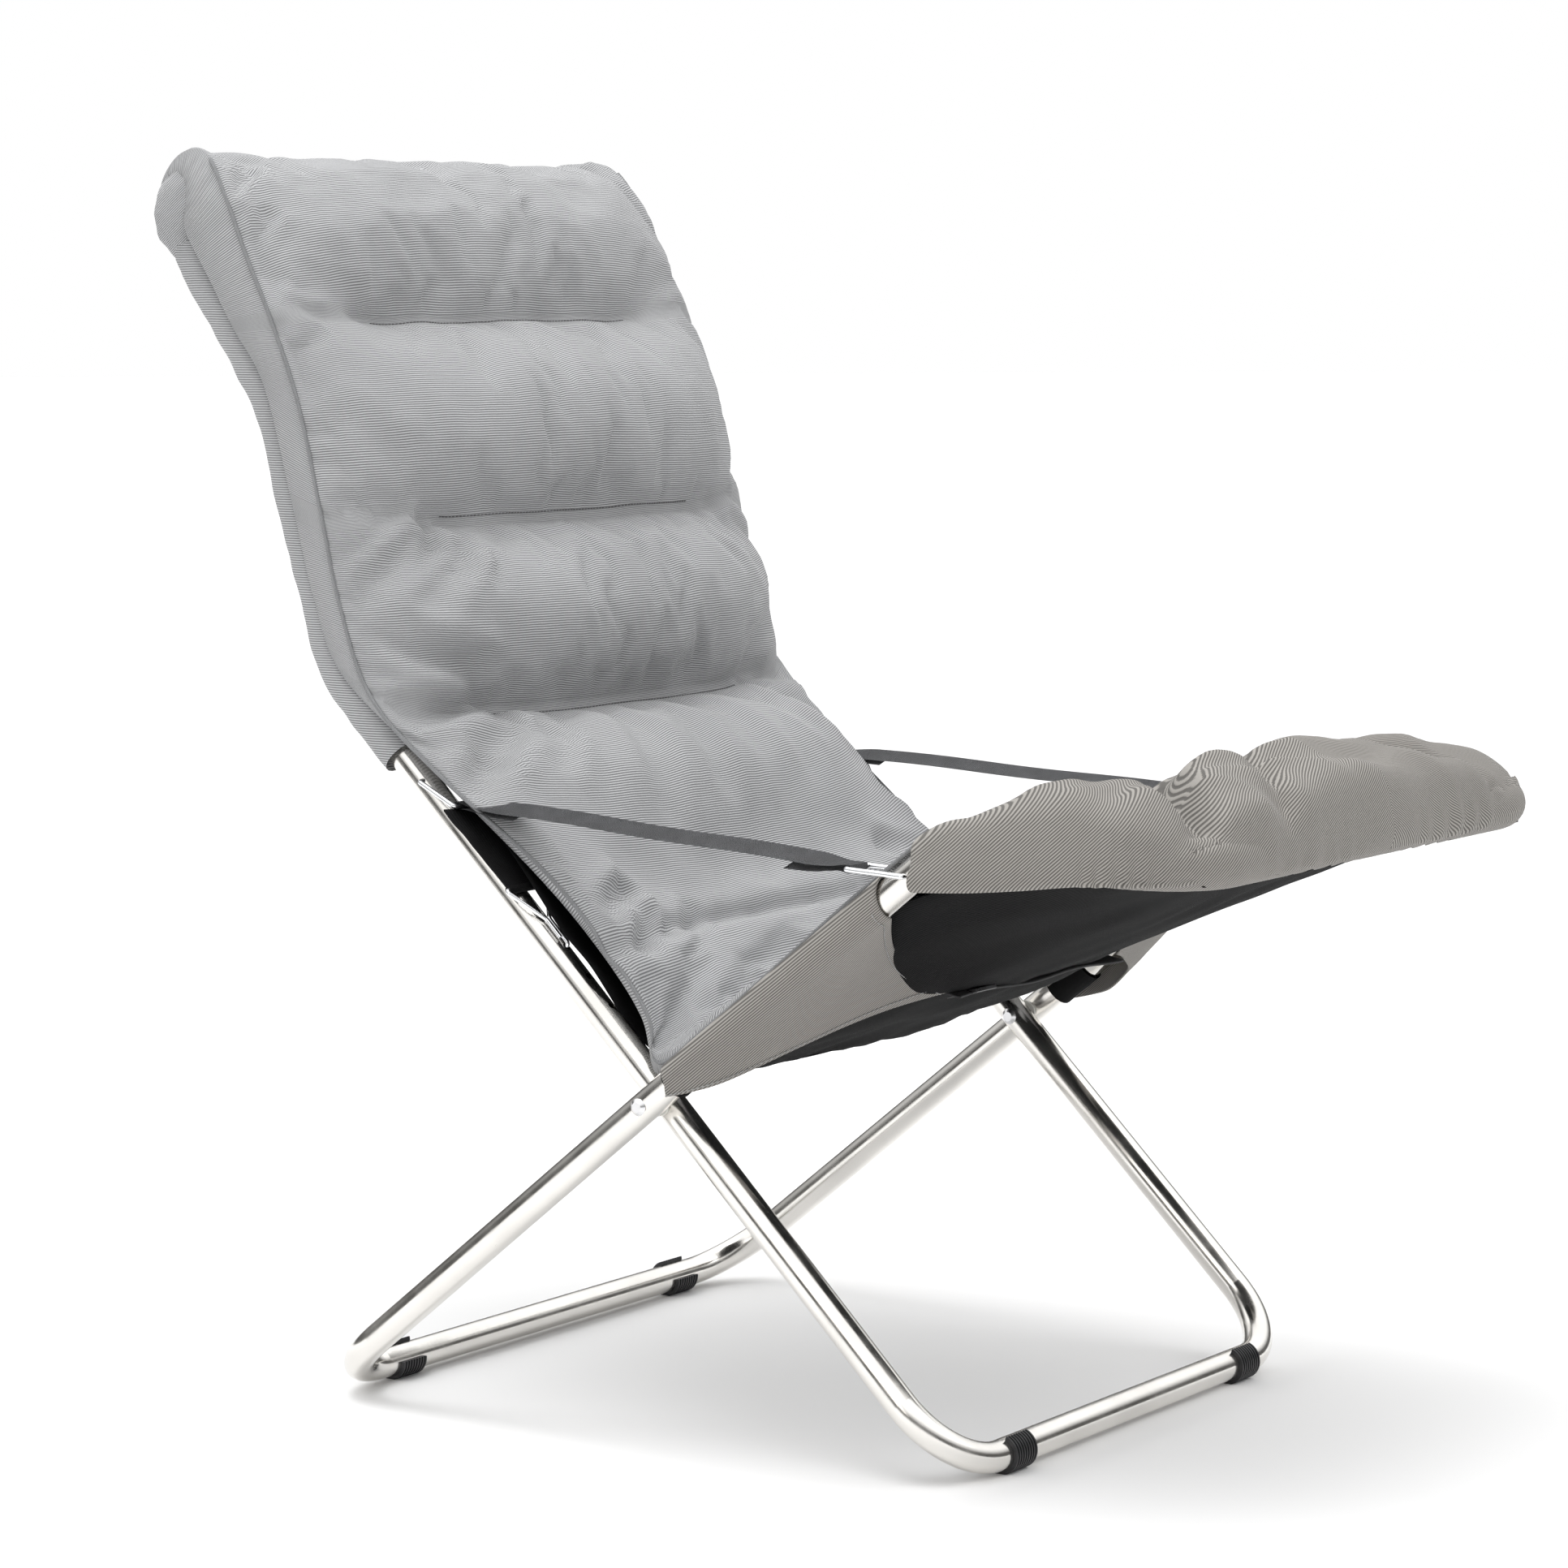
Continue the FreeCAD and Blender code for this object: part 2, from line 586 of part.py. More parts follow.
def arm_strap(label, sign):
    """Doubled webbing from link to link, with an eye round each link's closed end."""
    start = across(sign, BACK_X, REAR_LINK_END)
    end = across(sign, SEAT_X, FRONT_LINK_END)
    length = (end - start).Length
    along = (end - start).normalize()
    level = V(0, 0, 1).cross(along).normalize()
    above = along.cross(level)
    body = new_body(label + "_body")
    web = plane_sketch(body, "XY_Plane", label + "_web")
    half = dim("strap_thick") / 2
    eye = dim("link_wire") / 2 + dim("strap_eye_gap")
    eye_radius = "Dims.link_wire / 2 + Dims.strap_eye_gap"
    ring = eye + half
    near, far = ring - 0.4, length - ring + 0.4
    draw_polygon(
        web, [(near, -half), (far, -half), (far, half), (near, half)]
    )
    pad(body, web, "Dims.strap_width")
    eyes = plane_sketch(body, "XY_Plane", label + "_eyes")
    for centre in (0.0, length):
        draw_circle(eyes, (centre, 0.0), eye_radius)
        draw_circle(eyes, (centre, 0.0), eye_radius + " + Dims.strap_thick / 2")
    pad(body, eyes, "Dims.strap_width")
    turn = FreeCAD.Rotation(along, above, level * -1, "ZXY")
    keep(body, label, FreeCAD.Placement(start, turn))


for side, sign in SIDES:
    strap_link(f"arm_link_rear_{side}", sign, BACK_X, REAR_LINK_HOLE, REAR_LINK_END)
    strap_link(f"arm_link_front_{side}", sign, SEAT_X, FRONT_LINK_HOLE, FRONT_LINK_END)
    arm_strap(f"arm_strap_{side}", sign)

# ---------------------------------------------------------------- sling hooks

HOOK_TIP = 6.0
HOOK_SPACE = 0.2


def sling_hook(label, sign):
    """A wire triangle whose neck bends down into an adjusting hole of the tube."""
    x = sign * BACK_X
    rise = HOOK_RISE
    foot = dim("hook_reach")
    neck = foot + dim("hook_neck")
    base = neck + dim("hook_fork")
    half = dim("hook_base") / 2
    second = dim("hook_wire") + HOOK_SPACE

    def at(lateral, along, above):
        point = on_back(along, above)
        return V(x + lateral, point.y, point.z)

    path = [
        at(0, foot, HOOK_TIP),
        at(0, foot, rise),
        at(0, neck, rise),
        at(half, base, rise),
        at(-half, base, rise),
        at(-second, neck, rise),
        at(-second, foot + 2 * dim("hook_wire"), rise),
    ]
    small = dim("hook_wire") * 0.8
    wide = dim("hook_wire") * 1.6
    keep(swept(label + "_wire", path, [small, wide, small, small, wide], "Dims.hook_wire / 2"), label)


for side, sign in SIDES:
    sling_hook(f"sling_hook_{side}", sign)

# ---------------------------------------------------------------- slings


def offset_line(points, distance):
    """A polyline moved sideways in the side plane, mitred at its corners."""
    moved = []
    for i, point in enumerate(points):
        sides = []
        if i > 0:
            sides.append((point - points[i - 1]).normalize())
        if i < len(points) - 1:
            sides.append((points[i + 1] - point).normalize())
        normals = [V(0, -s.z, s.y) for s in sides]
        total = V(0, 0, 0)
        for normal in normals:
            total = total + normal
        scale = distance * len(normals) / total.dot(total)
        moved.append(point + total * scale)
    return moved


def sheet_strip(label, line, thickness, width_expression):
    """A sheet of even thickness that follows a line in the side plane."""
    upper = offset_line(line, thickness)
    return side_slab(label, flat(line + list(reversed(upper))), width_expression)


SLING = dim("sling_thick")
SLING_BACK = TUBE_R - SLING - 0.5
back_sling_line = offset_line(
    [on_back(300), LUMBAR, HEAD_BEND, TOP_BAR - HEAD_ALONG * (dim("top_corner") - POCKET_R)], SLING_BACK
)
BACK_SLING_WIDTH = "Dims.seat_frame_width - 3 * Dims.tube_dia - 2 * (Dims.tube_gap + Dims.back_sling_margin)"
SEAT_SLING_WIDTH = "Dims.seat_frame_width - 2 * Dims.seat_sling_margin"
sheet_strip("back_sling", back_sling_line, SLING, BACK_SLING_WIDTH)

# The sling hangs below the cross rivets and rises to the front bar: rows of places beside the cross
# rivet, then along the seat frame's side tubes and below their axis.
SLING_LOW = PIVOT + V(0, 32, 12)
SLING_CROSSING = PIVOT + V(0, -1.5, 18)
hammock_line = [
    on_back(297, SLING_BACK),
    PIVOT + V(0, 150, 131),
    PIVOT + V(0, 95, 56),
    SLING_LOW,
    SLING_CROSSING,
]
sheet_strip("hammock_sling", hammock_line, SLING, SEAT_SLING_WIDTH)

SEAT_SAG = ((30, 1), (120, -31), (196, -49), (245, -62), (300, -76))
seat_rest = [on_seat(along, sag) for along, sag in SEAT_SAG]
seat_sling_line = seat_rest + [FRONT_BAR + V(0, 42, -27)]
sheet_strip("seat_sling", seat_sling_line, SLING, SEAT_SLING_WIDTH)


def sling_wing(label, sign):
    """The side wing of the sling, lying over the tube, hemmed round the hook's base bar."""
    body = new_body(label + "_body")
    base = dim("hook_reach") + dim("hook_neck") + dim("hook_fork")
    rise = HOOK_RISE
    bar = dim("hook_wire") / 2
    low = TUBE_R + 1.2
    hem = plane_sketch(body, "YZ_Plane", label + "_hem")
    draw_circle(hem, (0.0, 0.0), "Dims.hook_wire / 2 + 0.2")
    draw_circle(hem, (0.0, 0.0), "Dims.hook_wire / 2 + 1.0")
    pad(body, hem, "Dims.hook_base - 4 * Dims.hook_wire")
    web = plane_sketch(body, "YZ_Plane", label + "_web")
    near, far, under = bar + 0.6, 76, low - rise
    draw_polygon(web, [(near, under), (far, under), (far, under + 2), (near, under + 2)])
    pad(body, web, "Dims.hook_base - 4 * Dims.hook_wire")
    place = on_back(base, rise)
    turn = FreeCAD.Rotation(V(1, 0, 0), dim("back_leg_angle"))
    keep(body, label, FreeCAD.Placement(across(sign, BACK_X, place), turn))


def sling_tab(label, sign):
    """The sling's tab, sewn round the seat frame's side tube."""
    start = across(sign, SEAT_X, on_seat(dim("tab_start")))
    length = dim("tab_length")
    wall = "Dims.tube_dia / 2 + 0.2"
    outside = cylinder(label + "_outside", start, SEAT_ALONG, length, wall + " + Dims.tab_wall")
    bore = cylinder(label + "_bore", start, SEAT_ALONG, length, wall)
    keep(cut(label + "_cut", outside, [bore]), label)


for side, sign in SIDES:
    sling_wing(f"sling_wing_{side}", sign)
    sling_tab(f"sling_tab_{side}", sign)

# ---------------------------------------------------------------- padded cover

# Along the back, each row is a place on the tubes' line, the direction in which the pad stands off
# it, and the pad's thickness at its edge and in its middle.
OFFSET = TUBE_R + dim("pad_clearance")


def corner_up(point, first, second):
    """The back line's corner at a bend, and the direction that halves the bend."""
    total = first + second
    scale = OFFSET * 2 / total.dot(total)
    return point + total * scale, V(total).normalize()


lumbar_back, lumbar_out = corner_up(LUMBAR, BACK_UP, RISE_UP)
head_back, head_out = corner_up(HEAD_BEND, RISE_UP, HEAD_UP)
BACK_ROWS = (
    (on_back(dim("back_pad_start"), OFFSET), BACK_UP, 12, 49),
    (lumbar_back, lumbar_out, 24, 98),
    (LUMBAR + RISE_ALONG * 135 + RISE_UP * OFFSET, RISE_UP, 31, 97),
    (head_back, head_out, 34, 78),
    (TOP_BAR + HEAD_UP * OFFSET, HEAD_UP, 36, 58),
)


def back_outline(column):
    """Outline of the padded back at its edge or in its middle."""
    rear = [row[0] for row in BACK_ROWS]
    front = [row[0] + row[1] * row[column] for row in BACK_ROWS]
    crown = rear[-1] + HEAD_UP * (BACK_ROWS[-1][column] * 0.55) + HEAD_ALONG * dim("head_roll")
    return flat(rear + [crown] + list(reversed(front)))


half_pad = SEAT_X - dim("back_pad_margin")
half_flat = half_pad - dim("back_pad_rounding")
side_loft(
    "back_pad",
    [
        (-half_pad, back_outline(2)),
        (-half_flat, back_outline(3)),
        (half_flat, back_outline(3)),
        (half_pad, back_outline(2)),
    ],
)

def raised(point, height):
    """The point straight above."""
    return point + V(0, 0, height)


# The padded cover lies on the sling between the frames, from the back's lower end to the front pocket.
SEAT_UNDER = SLING + dim("seat_lift")
SEAT_OVER = SEAT_UNDER + dim("seat_pad_thick")
pad_rear = SLING_CROSSING + V(0, 1.5, 0)
hammock_end = dim("back_pad_start") - dim("pad_joint_gap")
hammock_outline = [
    on_back(hammock_end, OFFSET + 48.6),
    PIVOT + V(0, 105, 151),
    PIVOT + V(0, 58, 103),
    PIVOT + V(0, 24, 75),
    raised(pad_rear, SEAT_OVER),
    raised(pad_rear, SEAT_UNDER),
    raised(SLING_LOW, SEAT_UNDER + 1),
    PIVOT + V(0, 62, 56),
    PIVOT + V(0, 100, 111),
    PIVOT + V(0, 158, 166),
    on_back(301, OFFSET - 0.5),
    on_back(hammock_end, OFFSET + 4),
]
side_slab("hammock_pad", flat(hammock_outline), "Dims.seat_frame_width - 2 * Dims.hammock_pad_margin")

seat_rows = [SLING_CROSSING] + seat_rest[:-1]
seat_front = -dim("hood_rear") + 1.5
front_share = (seat_front - seat_rest[-2].y) / (seat_rest[-1].y - seat_rest[-2].y)
seat_rows.append(seat_rest[-2] + (seat_rest[-1] - seat_rest[-2]) * front_share)
seat_outline = [raised(row, SEAT_OVER) for row in seat_rows]
seat_outline += [raised(row, SEAT_UNDER) for row in reversed(seat_rows)]
side_slab("seat_pad", flat(seat_outline), "Dims.seat_frame_width - 2 * Dims.seat_pad_margin")

# The front pocket is a padded bag pulled over the front bar, which runs in a tunnel through it.
hood_outline = [
    side_point(-dim("hood_rear"), 541),
    side_point(-375, 550),
    side_point(-455, 544),
    side_point(FRONT_BAR.y - HOOD_R + 2, FRONT_BAR.z + 24),
    side_point(FRONT_BAR.y - HOOD_R, FRONT_BAR.z - 4),
    side_point(FRONT_BAR.y - 3, FRONT_BAR.z - HOOD_R - 3),
    side_point(-380, 480),
    side_point(-dim("hood_rear"), 471),
]
hood_body = new_body("front_hood_body")
hood_sketch = plane_sketch(hood_body, "YZ_Plane", "front_hood_outline")
draw_polygon(hood_sketch, flat(hood_outline))
HOOD_WIDTH = "Dims.seat_frame_width + Dims.tube_dia + 2 * (Dims.cloth_gap + Dims.hood_wall)"
pad(hood_body, hood_sketch, HOOD_WIDTH)
hood_tunnel = swept(
    "front_hood_tunnel",
    u_path(SEAT_X, [SEAT_JOINT, SEAT_BEND, FRONT_BAR]),
    [dim("front_bend"), dim("front_corner"), dim("front_corner"), dim("front_bend")],
    "Dims.tube_dia / 2 + Dims.cloth_gap",
)
plan = DOC.addObject("Part::Box", "front_hood_plan")
hood_half = SEAT_X + HOOD_R
plan.Length = 2 * hood_half
plan.Width = 300
plan.Height = 120
plan.Placement = FreeCAD.Placement(V(-hood_half, FRONT_BAR.y - HOOD_R, 450), FreeCAD.Rotation())
DOC.recompute()
rounded_plan = DOC.addObject("Part::Fillet", "front_hood_rounded_plan")
rounded_plan.Base = plan
corner_r = dim("front_corner") + HOOD_R
front_edges = [
    i + 1
    for i, edge in enumerate(plan.Shape.Edges)
    if abs(edge.BoundBox.YMax - (FRONT_BAR.y - HOOD_R)) < 0.01 and edge.BoundBox.ZLength > 100
]
rounded_plan.Edges = [(i, corner_r, corner_r) for i in front_edges]
hood_solid = DOC.addObject("Part::Common", "front_hood_solid")
hood_solid.Base = hood_body
hood_solid.Tool = rounded_plan
keep(cut("front_hood_cut", hood_solid, [hood_tunnel]), "front_hood")

# The top pocket is the cover's open bag over the back frame's top bar.
pocket_start = TOP_BAR - HEAD_ALONG * dim("pocket_depth")
pocket_path = u_path(BACK_X, [pocket_start, TOP_BAR])
pocket_bends = [dim("top_corner")] * 2
pocket_bore = "Dims.tube_dia / 2 + Dims.cloth_gap"
pocket_outside = swept("top_pocket_outside", pocket_path, pocket_bends, pocket_bore + " + Dims.pocket_wall")
pocket_inside = swept("top_pocket_inside", pocket_path, pocket_bends, pocket_bore)
keep(cut("top_pocket_cut", pocket_outside, [pocket_inside]), "top_pocket")

# Wing outline, along the tube from the cross rivet and above the tube's axis.
WING = ((80, 0), (80, -28), (135, -46), (216, -65), (244, -58), (262, -38), (270, 0))


def side_wrap(label):
    """The cover's side flap: over the tube, and hanging down outside it."""
    body = new_body(label + "_body")
    inner = TUBE_R + dim("wrap_gap")
    outer = inner + dim("wrap_thick")
    wing = plane_sketch(body, "XY_Plane", label + "_wing", inner)
    draw_polygon(wing, WING)
    pad(body, wing, "Dims.wrap_thick", midplane=False)
    start, end = WING[0][0], WING[-1][0]
    # YZ sketch: first axis is above the tube, second is outwards; the arc runs from outside over the top.
    over = plane_sketch(body, "YZ_Plane", label + "_over", start)
    arcs = []
    first, last = math.radians(-40), math.radians(90)
    for r in (inner, outer):
        circle = Part.Circle(V(0, 0, 0), V(0, 0, 1), r)
        arcs.append(over.addGeometry(Part.ArcOfCircle(circle, first, last), False))
    for turn in (first, last):
        near = V(inner * math.cos(turn), inner * math.sin(turn), 0)
        far = V(outer * math.cos(turn), outer * math.sin(turn), 0)
        over.addGeometry(Part.LineSegment(near, far), False)
    for line, corner in ((2, 1), (3, 2)):
        over.addConstraint(Sketcher.Constraint("Coincident", arcs[0], corner, line, 1))
        over.addConstraint(Sketcher.Constraint("Coincident", arcs[1], corner, line, 2))
    length = body.newObject("PartDesign::Pad", label + "_over_pad")
    length.Profile = over
    length.Length = end - start
    return body


WRAP_FRAME = FreeCAD.Matrix(
    0, 0, -1, -SEAT_X,
    SEAT_ALONG.y, SEAT_UP.y, 0, PIVOT.y,
    SEAT_ALONG.z, SEAT_UP.z, 0, PIVOT.z,
    0, 0, 0, 1,
)
keep(side_wrap("side_wrap_right"), "side_wrap_right", FreeCAD.Placement(WRAP_FRAME))
left_source = side_wrap("side_wrap_left")
left_source.Placement = FreeCAD.Placement(WRAP_FRAME)
left_wrap = DOC.addObject("Part::Mirroring", "side_wrap_left_mirror")
left_wrap.Source = left_source
left_wrap.Base = V(0, 0, 0)
left_wrap.Normal = V(1, 0, 0)
keep(left_wrap, "side_wrap_left")

# ---------------------------------------------------------------- strap under the seat

# The strap passes under the sling and meets the lower edges of both side flaps.
STRAP_POINT = on_seat(181, -63.5)
under_body = new_body("under_strap_body")
under_sketch = plane_sketch(under_body, "YZ_Plane", "under_strap_section")
half_width = dim("under_strap_width") / 2
half_thick = dim("under_strap_thick") / 2
draw_polygon(
    under_sketch,
    [
        (STRAP_POINT.y - half_width, STRAP_POINT.z - half_thick),
        (STRAP_POINT.y + half_width, STRAP_POINT.z - half_thick),
        (STRAP_POINT.y + half_width, STRAP_POINT.z + half_thick),
        (STRAP_POINT.y - half_width, STRAP_POINT.z + half_thick),
    ],
)
UNDER_STRAP_LENGTH = "Dims.seat_frame_width + Dims.tube_dia + 2 * Dims.wrap_gap - 1"
pad(under_body, under_sketch, UNDER_STRAP_LENGTH)
keep(under_body, "under_strap")

BUCKLE_LENGTH = 30.0
BUCKLE_PLACE = -100.0
buckle_outer = DOC.addObject("Part::Box", "buckle_outer")
buckle_wall = dim("buckle_wall")
buckle_size = V(
    BUCKLE_LENGTH,
    dim("under_strap_width") + 2 * buckle_wall,
    dim("under_strap_thick") + 2 * buckle_wall * 0.6,
)
buckle_slot = DOC.addObject("Part::Box", "buckle_slot")
for block, size in (
    (buckle_outer, buckle_size),
    (buckle_slot, V(BUCKLE_LENGTH + 2, dim("under_strap_width") + 0.4, dim("under_strap_thick") + 0.4)),
):
    block.Length, block.Width, block.Height = size.x, size.y, size.z
    corner = V(BUCKLE_PLACE, STRAP_POINT.y, STRAP_POINT.z) - size * 0.5
    block.Placement = FreeCAD.Placement(corner, FreeCAD.Rotation())
keep(cut("strap_buckle_cut", buckle_outer, [buckle_slot]), "strap_buckle")

# ---------------------------------------------------------------- check and write

DOC.recompute()
for item in DOC.Objects:
    if "Invalid" in item.State or "Error" in item.State:
        raise RuntimeError(f"{item.Label} did not build: {item.State}")
for piece in nodes:
    if piece.Shape.isNull() or not piece.Shape.isValid() or not piece.Shape.Solids:
        raise RuntimeError(f"{piece.Label} has no valid solid")

os.makedirs("parts", exist_ok=True)
for piece in nodes:
    piece.Shape.exportStep(f"parts/{piece.Label}.step")
    box = piece.Shape.BoundBox
    print(
        f"{piece.Label:22s} solids {len(piece.Shape.Solids)} volume {piece.Shape.Volume / 1000:9.2f} cm3 "
        f"x {box.XMin:7.1f} {box.XMax:7.1f} y {box.YMin:7.1f} {box.YMax:7.1f} "
        f"z {box.ZMin:7.1f} {box.ZMax:7.1f}"
    )
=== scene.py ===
"""Looks of the padded folding chair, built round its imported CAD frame.

Metres, +Z up, and the sitter faces -Y.
"""

import json
import math

import bmesh
import bpy
from mathutils import Matrix, Vector, kdtree, noise
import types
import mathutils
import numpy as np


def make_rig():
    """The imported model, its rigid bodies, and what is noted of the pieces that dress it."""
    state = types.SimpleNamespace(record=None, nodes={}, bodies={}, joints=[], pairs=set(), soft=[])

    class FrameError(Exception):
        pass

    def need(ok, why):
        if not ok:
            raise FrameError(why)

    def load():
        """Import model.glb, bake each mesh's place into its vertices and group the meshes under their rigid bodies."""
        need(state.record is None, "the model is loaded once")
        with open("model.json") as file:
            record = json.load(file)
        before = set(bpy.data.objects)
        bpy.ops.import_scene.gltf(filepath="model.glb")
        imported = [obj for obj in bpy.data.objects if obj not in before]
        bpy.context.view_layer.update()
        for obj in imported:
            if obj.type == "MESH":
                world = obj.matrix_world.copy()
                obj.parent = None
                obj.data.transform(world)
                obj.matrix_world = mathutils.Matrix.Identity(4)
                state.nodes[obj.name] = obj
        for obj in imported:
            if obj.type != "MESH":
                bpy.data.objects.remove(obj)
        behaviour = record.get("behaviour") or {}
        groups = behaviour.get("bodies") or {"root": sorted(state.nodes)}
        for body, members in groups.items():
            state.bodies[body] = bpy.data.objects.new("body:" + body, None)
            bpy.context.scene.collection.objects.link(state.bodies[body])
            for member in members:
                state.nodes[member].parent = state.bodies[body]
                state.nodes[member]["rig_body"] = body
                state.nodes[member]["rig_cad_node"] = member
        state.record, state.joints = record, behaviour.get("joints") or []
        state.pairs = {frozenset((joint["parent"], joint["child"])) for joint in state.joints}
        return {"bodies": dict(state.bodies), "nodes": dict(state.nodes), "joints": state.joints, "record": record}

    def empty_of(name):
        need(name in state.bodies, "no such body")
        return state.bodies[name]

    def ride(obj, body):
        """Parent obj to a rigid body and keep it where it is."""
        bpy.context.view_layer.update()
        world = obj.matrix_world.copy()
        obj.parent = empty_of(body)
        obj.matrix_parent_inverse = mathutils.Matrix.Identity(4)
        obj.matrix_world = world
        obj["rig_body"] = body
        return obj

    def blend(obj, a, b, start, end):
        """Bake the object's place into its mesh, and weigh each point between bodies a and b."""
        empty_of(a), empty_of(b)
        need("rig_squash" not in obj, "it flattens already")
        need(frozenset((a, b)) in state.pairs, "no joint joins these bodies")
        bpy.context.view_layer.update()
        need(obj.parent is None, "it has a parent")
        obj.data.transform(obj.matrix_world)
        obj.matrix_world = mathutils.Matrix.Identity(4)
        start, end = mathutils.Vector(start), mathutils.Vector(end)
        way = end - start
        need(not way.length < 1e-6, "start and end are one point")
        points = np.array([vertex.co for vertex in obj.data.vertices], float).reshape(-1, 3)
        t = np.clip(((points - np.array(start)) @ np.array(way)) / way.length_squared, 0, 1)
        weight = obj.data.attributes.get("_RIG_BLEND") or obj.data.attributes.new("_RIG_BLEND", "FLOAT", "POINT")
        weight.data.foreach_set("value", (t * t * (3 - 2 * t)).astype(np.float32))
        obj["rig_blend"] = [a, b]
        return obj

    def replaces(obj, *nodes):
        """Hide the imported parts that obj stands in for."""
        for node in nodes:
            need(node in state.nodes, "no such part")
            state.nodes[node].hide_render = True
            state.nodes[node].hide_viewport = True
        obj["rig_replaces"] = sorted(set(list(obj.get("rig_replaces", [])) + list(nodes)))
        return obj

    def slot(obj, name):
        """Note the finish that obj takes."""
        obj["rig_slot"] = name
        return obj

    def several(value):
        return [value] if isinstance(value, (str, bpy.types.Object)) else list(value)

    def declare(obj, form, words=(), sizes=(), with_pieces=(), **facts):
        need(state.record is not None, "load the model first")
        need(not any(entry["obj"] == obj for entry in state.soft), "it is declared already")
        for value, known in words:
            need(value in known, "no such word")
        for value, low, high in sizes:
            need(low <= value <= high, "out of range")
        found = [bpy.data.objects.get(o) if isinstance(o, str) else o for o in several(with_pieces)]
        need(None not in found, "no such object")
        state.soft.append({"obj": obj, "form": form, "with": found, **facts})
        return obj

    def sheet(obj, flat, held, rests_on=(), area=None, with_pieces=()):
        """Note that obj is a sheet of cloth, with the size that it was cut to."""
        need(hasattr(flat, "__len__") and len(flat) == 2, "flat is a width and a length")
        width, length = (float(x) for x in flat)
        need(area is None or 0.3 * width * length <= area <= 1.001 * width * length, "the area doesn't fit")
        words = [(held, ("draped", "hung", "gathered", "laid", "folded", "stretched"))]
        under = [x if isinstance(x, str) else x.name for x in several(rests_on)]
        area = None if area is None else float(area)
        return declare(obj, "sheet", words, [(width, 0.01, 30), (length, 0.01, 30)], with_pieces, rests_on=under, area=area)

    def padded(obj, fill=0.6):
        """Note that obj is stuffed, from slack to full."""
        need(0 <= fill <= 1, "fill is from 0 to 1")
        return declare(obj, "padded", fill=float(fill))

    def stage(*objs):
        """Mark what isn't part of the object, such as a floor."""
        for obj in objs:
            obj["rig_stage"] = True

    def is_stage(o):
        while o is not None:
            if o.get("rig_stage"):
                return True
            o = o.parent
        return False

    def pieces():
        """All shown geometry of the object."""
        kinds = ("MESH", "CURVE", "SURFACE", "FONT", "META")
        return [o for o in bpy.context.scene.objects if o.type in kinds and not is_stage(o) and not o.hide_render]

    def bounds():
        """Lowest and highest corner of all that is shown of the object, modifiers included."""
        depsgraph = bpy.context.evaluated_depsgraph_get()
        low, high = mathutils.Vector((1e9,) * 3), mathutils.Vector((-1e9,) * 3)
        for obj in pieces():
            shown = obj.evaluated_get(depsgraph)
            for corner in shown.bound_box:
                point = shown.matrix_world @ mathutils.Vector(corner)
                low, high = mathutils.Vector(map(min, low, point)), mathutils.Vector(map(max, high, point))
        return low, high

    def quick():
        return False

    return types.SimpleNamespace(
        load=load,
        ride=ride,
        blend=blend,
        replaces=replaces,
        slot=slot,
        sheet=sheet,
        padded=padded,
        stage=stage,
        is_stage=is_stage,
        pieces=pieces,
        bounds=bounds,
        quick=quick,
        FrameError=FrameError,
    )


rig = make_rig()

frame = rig.load()
cad_low, cad_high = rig.bounds()

# ---------------- layout, read from the frame

JOINTS = {joint["name"]: joint for joint in frame["joints"]}
PIVOT = Vector(JOINTS["fold"]["pos_m"])
REAR_LINK = Vector(JOINTS["rear_link_swing_left"]["pos_m"])
FRONT_LINK = Vector(JOINTS["front_link_swing_left"]["pos_m"])
BACK_X = REAR_LINK.x
SEAT_X = FRONT_LINK.x
TUBE_R = 0.0125
BACK_ANGLE = math.radians(44.5)
SEAT_ANGLE = math.radians(38.6)
RISE_ANGLE = math.radians(73.6)
HEAD_ANGLE = math.radians(54.7)
SIDES = (("left", 1), ("right", -1))


def place(behind, height, x=0.0):
    """A point by its distance behind the cross rivets and its height above the floor."""
    return Vector((x, PIVOT.y + behind, height))


def on_line(start, angle, along, above, x):
    """A point along and above a line in the side plane that rises backwards at an angle."""
    run = Vector((0, math.cos(angle), math.sin(angle)))
    lift = Vector((0, -math.sin(angle), math.cos(angle)))
    point = start + run * along + lift * above
    return Vector((x, point.y, point.z))


def on_back(along, above=0.0, x=0.0):
    """A point beside the back frame's lower side tubes, from the cross rivet."""
    return on_line(PIVOT, BACK_ANGLE, along, above, x)


def on_seat(along, above=0.0, x=0.0):
    """A point beside the seat frame's side tubes, from the cross rivet."""
    mirrored = on_line(PIVOT, SEAT_ANGLE, along, above, x)
    return Vector((x, 2 * PIVOT.y - mirrored.y, mirrored.z))


LUMBAR = on_back(0.468)
HEAD_BEND = on_line(LUMBAR, RISE_ANGLE, 0.2335, 0, 0)
TOP_BAR = on_line(HEAD_BEND, HEAD_ANGLE, 0.1887, 0, 0)
FRONT_BAR = place(-0.482, 0.497)

# Cloth that crosses the fold follows the back frame before BEND_START and the seat frame past BEND_END.
BEND_START, BEND_END = place(0.20, 0.50), place(-0.03, 0.34)

# ---------------- camera, light and floor

